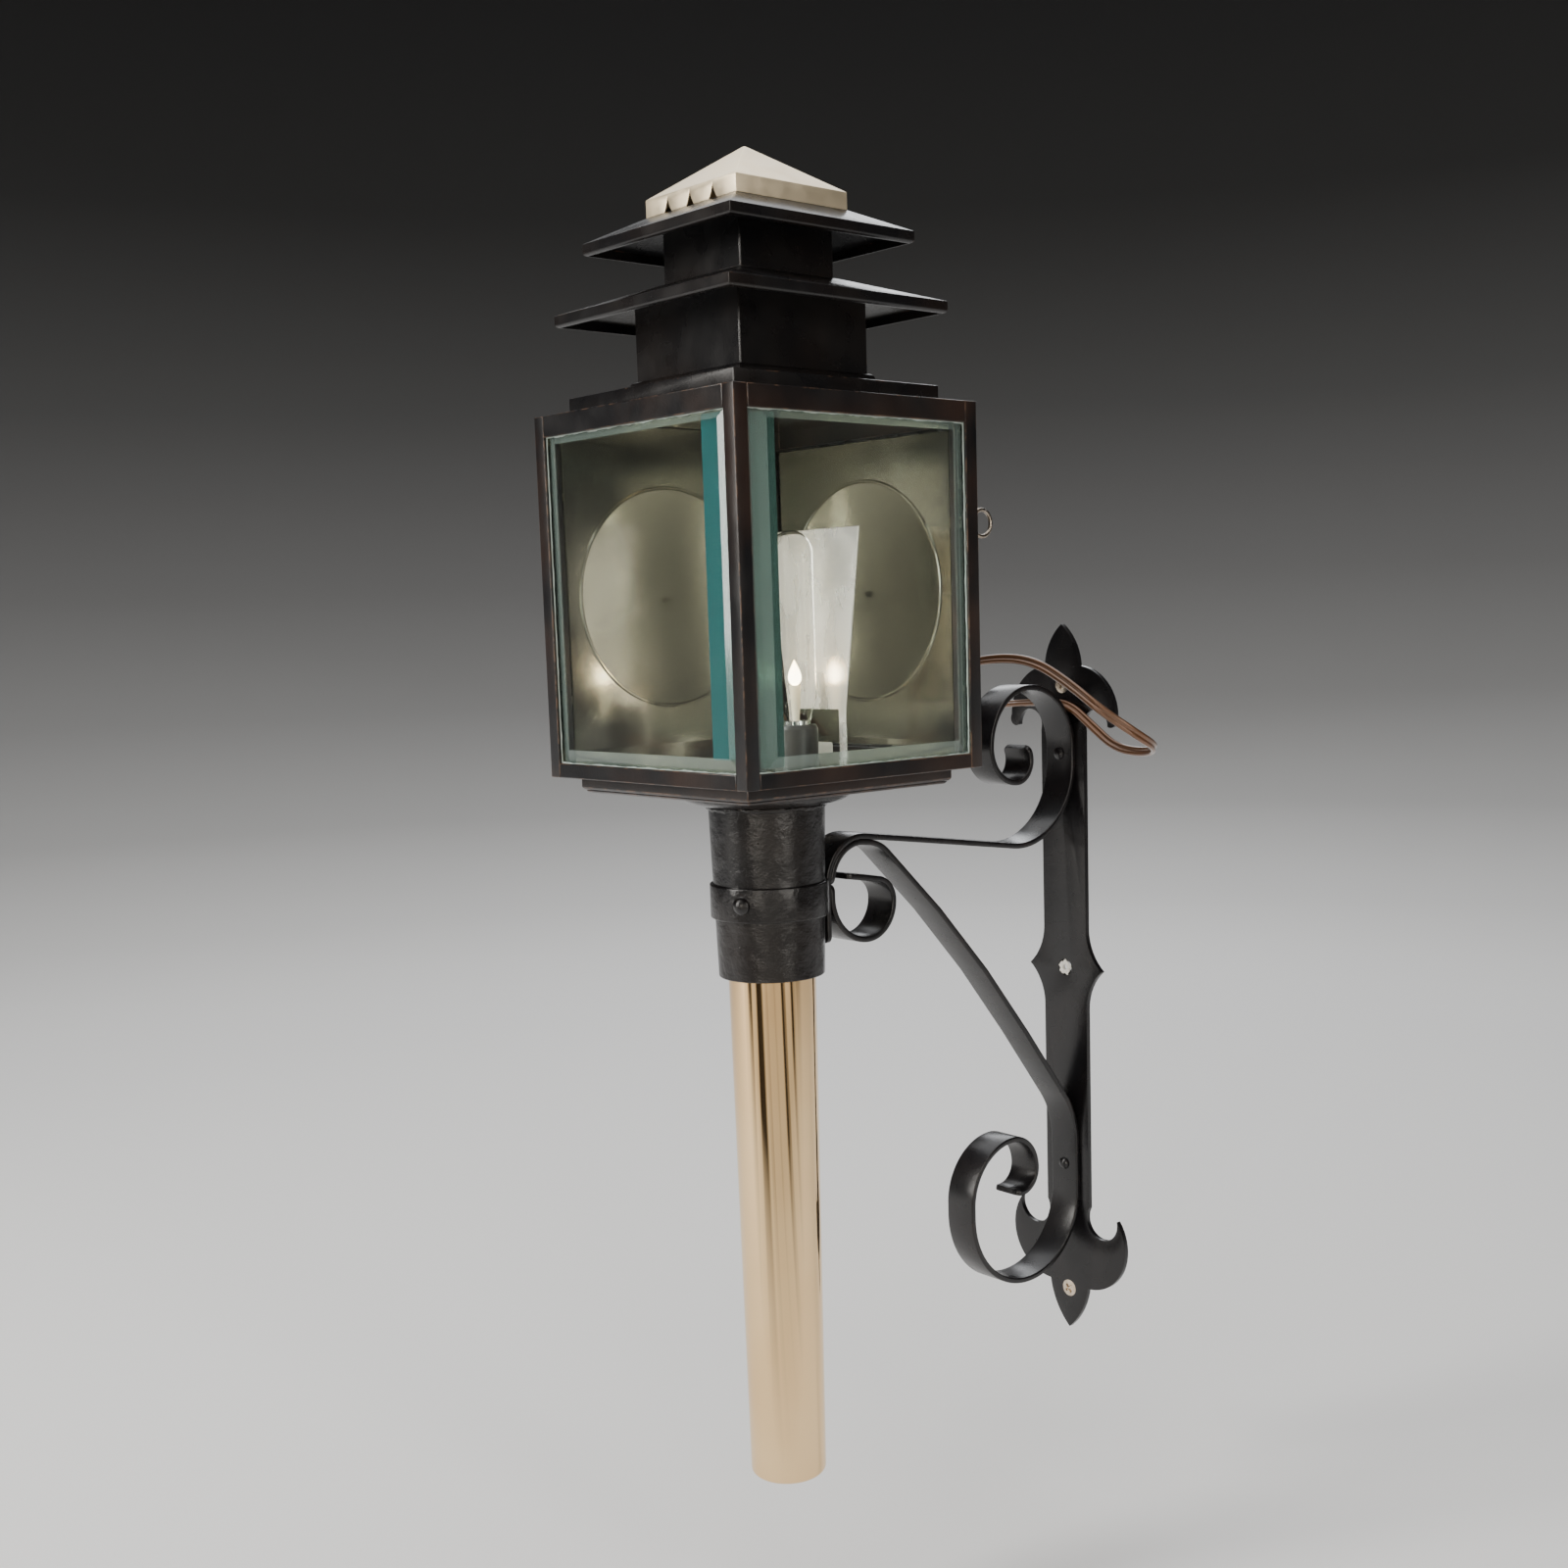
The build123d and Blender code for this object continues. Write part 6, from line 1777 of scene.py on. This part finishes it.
@dataclass
class Lamp:
    """Lampholder, bulb with its flame, and the mirror plate behind it."""

    bulb_r: float = 0.0105
    neck_r: float = 0.0076
    wall: float = 0.0006
    bulb_h: float = 0.090
    swell_h: float = 0.013
    stem_h: float = 0.017
    flame_r: float = 0.0032
    flame_h: float = 0.0125

    def bulb_outline(self, inset: float) -> np.ndarray:
        """Bulb from neck to crown: an eased swell, a straight side and a round top.

        Args:
            inset: How far it is moved in.

        Returns:
            (radius, height) rows.
        """
        share = np.linspace(0.0, 1.0, 16)
        ease = share * share * (3.0 - 2.0 * share)
        swell = rows_of(self.neck_r + (self.bulb_r - self.neck_r) * ease - inset,
                        BULB_FOOT_Z + self.swell_h * share)
        crown_z = BULB_FOOT_Z + self.bulb_h - self.bulb_r
        crown = arc((0.0, crown_z), self.bulb_r - inset, 0.0, 90.0, 20)
        crown[-1, 0] = 0.0
        return np.concatenate([swell, crown])

    def flame_profile(self) -> np.ndarray:
        """Flame outline: a fat foot that draws up to a point, radius = r * sin(pi * t^0.6).

        Returns:
            Closed loop of (radius, height) rows.
        """
        share = np.linspace(0.0, 1.0, 24)
        radius = self.flame_r * np.sin(math.pi * share**0.6)
        z = BULB_FOOT_Z + self.stem_h - 0.0004 + self.flame_h * share
        return rows_of(radius.clip(0.0), z)

    def build(self, finishes: Finishes) -> None:
        """Make the bulb and dress the holder.

        Args:
            finishes: The lantern's materials.
        """
        centre = (LAMP_X, LAMP_Y)
        outline = np.concatenate([self.bulb_outline(0.0), self.bulb_outline(self.wall)[::-1]])
        verts, faces = revolve(outline, centre, 96)
        bulb = make_piece("clear_bulb", verts, faces, Body.LANTERN, finishes.bulb, 60.0)
        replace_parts(bulb, "bulb_glass")
        verts, faces = revolve(self.flame_profile(), centre, 48)
        flame = make_piece("lit_flame", verts, faces, Body.LANTERN, finishes.flame, 80.0)
        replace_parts(flame, "flame_diffuser")
        for node, material in (("flame_stem", finishes.stem), ("lampholder", finishes.holder),
                               ("lampholder_base", finishes.holder), ("lampholder_screws", finishes.steel),
                               ("bulb_cap", finishes.bright), ("inner_terminal_block", finishes.nylon)):
            dress(node, material)
        filed_copy("flame_mirror", Body.LANTERN, finishes.mirror, 0.0003, 1)
        light = bpy.data.lights.new("flame_light", "POINT")
        light.energy = 0.55
        light.color = (1.0, 0.74, 0.45)
        light.shadow_soft_size = 0.003
        lamp = add_object("flame_light", light)
        lamp.matrix_world = Matrix.Translation((LAMP_X, LAMP_Y, BULB_FOOT_Z + self.stem_h + 0.005))


@dataclass
class Door:
    """Rear door, its hinges and its catch."""

    def build(self, finishes: Finishes) -> None:
        """File and dress the door's pieces.

        Args:
            finishes: The lantern's materials.
        """
        door = filed_copy("rear_door", Body.DOOR, finishes.sheet_paint, 0.0004, 2)
        inner = ((-1.0, 1.0), (REAR_Y - 0.0030, REAR_Y - 0.0010), (-1.0, 1.0))
        face_material(door, finishes.silvered, (0.0, -1.0, 0.0), inner)
        for node, body in (("case_hinge_leaves", Body.LANTERN), ("door_hinge_leaves", Body.DOOR)):
            filed_copy(node, body, finishes.frame_paint, 0.0002, 1)
        filed_copy("catch_plate", Body.DOOR, finishes.frame_paint, 0.0003, 2)
        for node in ("hinge_pins", "catch_spindle", "catch_tongue", "pull_loop"):
            dress(node, finishes.steel)


@dataclass
class CableEntry:
    """Gland and ribbed strain relief on the left wall."""

    start_x: float = -0.0764
    length: float = 0.0240
    y: float = -0.165
    z: float = 0.165
    root_r: float = 0.0049
    tip_r: float = 0.0033

    def build(self, finishes: Finishes) -> None:
        """Make the sleeve: a taper whose radius dips 0.45 mm between its ribs.

        Args:
            finishes: The lantern's materials.
        """
        dress("cable_gland", finishes.holder)
        share = np.linspace(0.0, 1.0, 60)
        dips = 0.00045 * (np.cos(share * 2.0 * math.pi * 7.0) < -0.2) * (share > 0.1)
        radius = self.root_r + (self.tip_r - self.root_r) * share - dips
        profile = np.concatenate([[[0.0, 0.0]], rows_of(radius, share * self.length),
                                  [[0.0026, self.length], [0.0026, self.length - 0.002],
                                   [0.0, self.length - 0.002]]])
        verts, faces = revolve(profile, (0.0, 0.0), 48)
        placed = rows_of(self.start_x - verts[:, 2], self.y + verts[:, 1], self.z + verts[:, 0])
        piece = make_piece("ribbed_sleeve", placed, faces, Body.LANTERN, finishes.rubber)
        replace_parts(piece, "strain_relief")


def main() -> None:
    """Build the studio, then every sub-assembly in order."""
    logging.basicConfig(level=logging.INFO)
    studio = Studio()
    studio.set_camera()
    finishes = Finishes(Effects())
    Flex().build(finishes)
    studio.set_floor()
    studio.set_lamps()
    for part in (Bracket(), Socket(), Case(), Glazing(), Reflectors(), Roof(), Lamp(), Door(), CableEntry()):
        part.build(finishes)


if __name__ == "__main__":
    main()
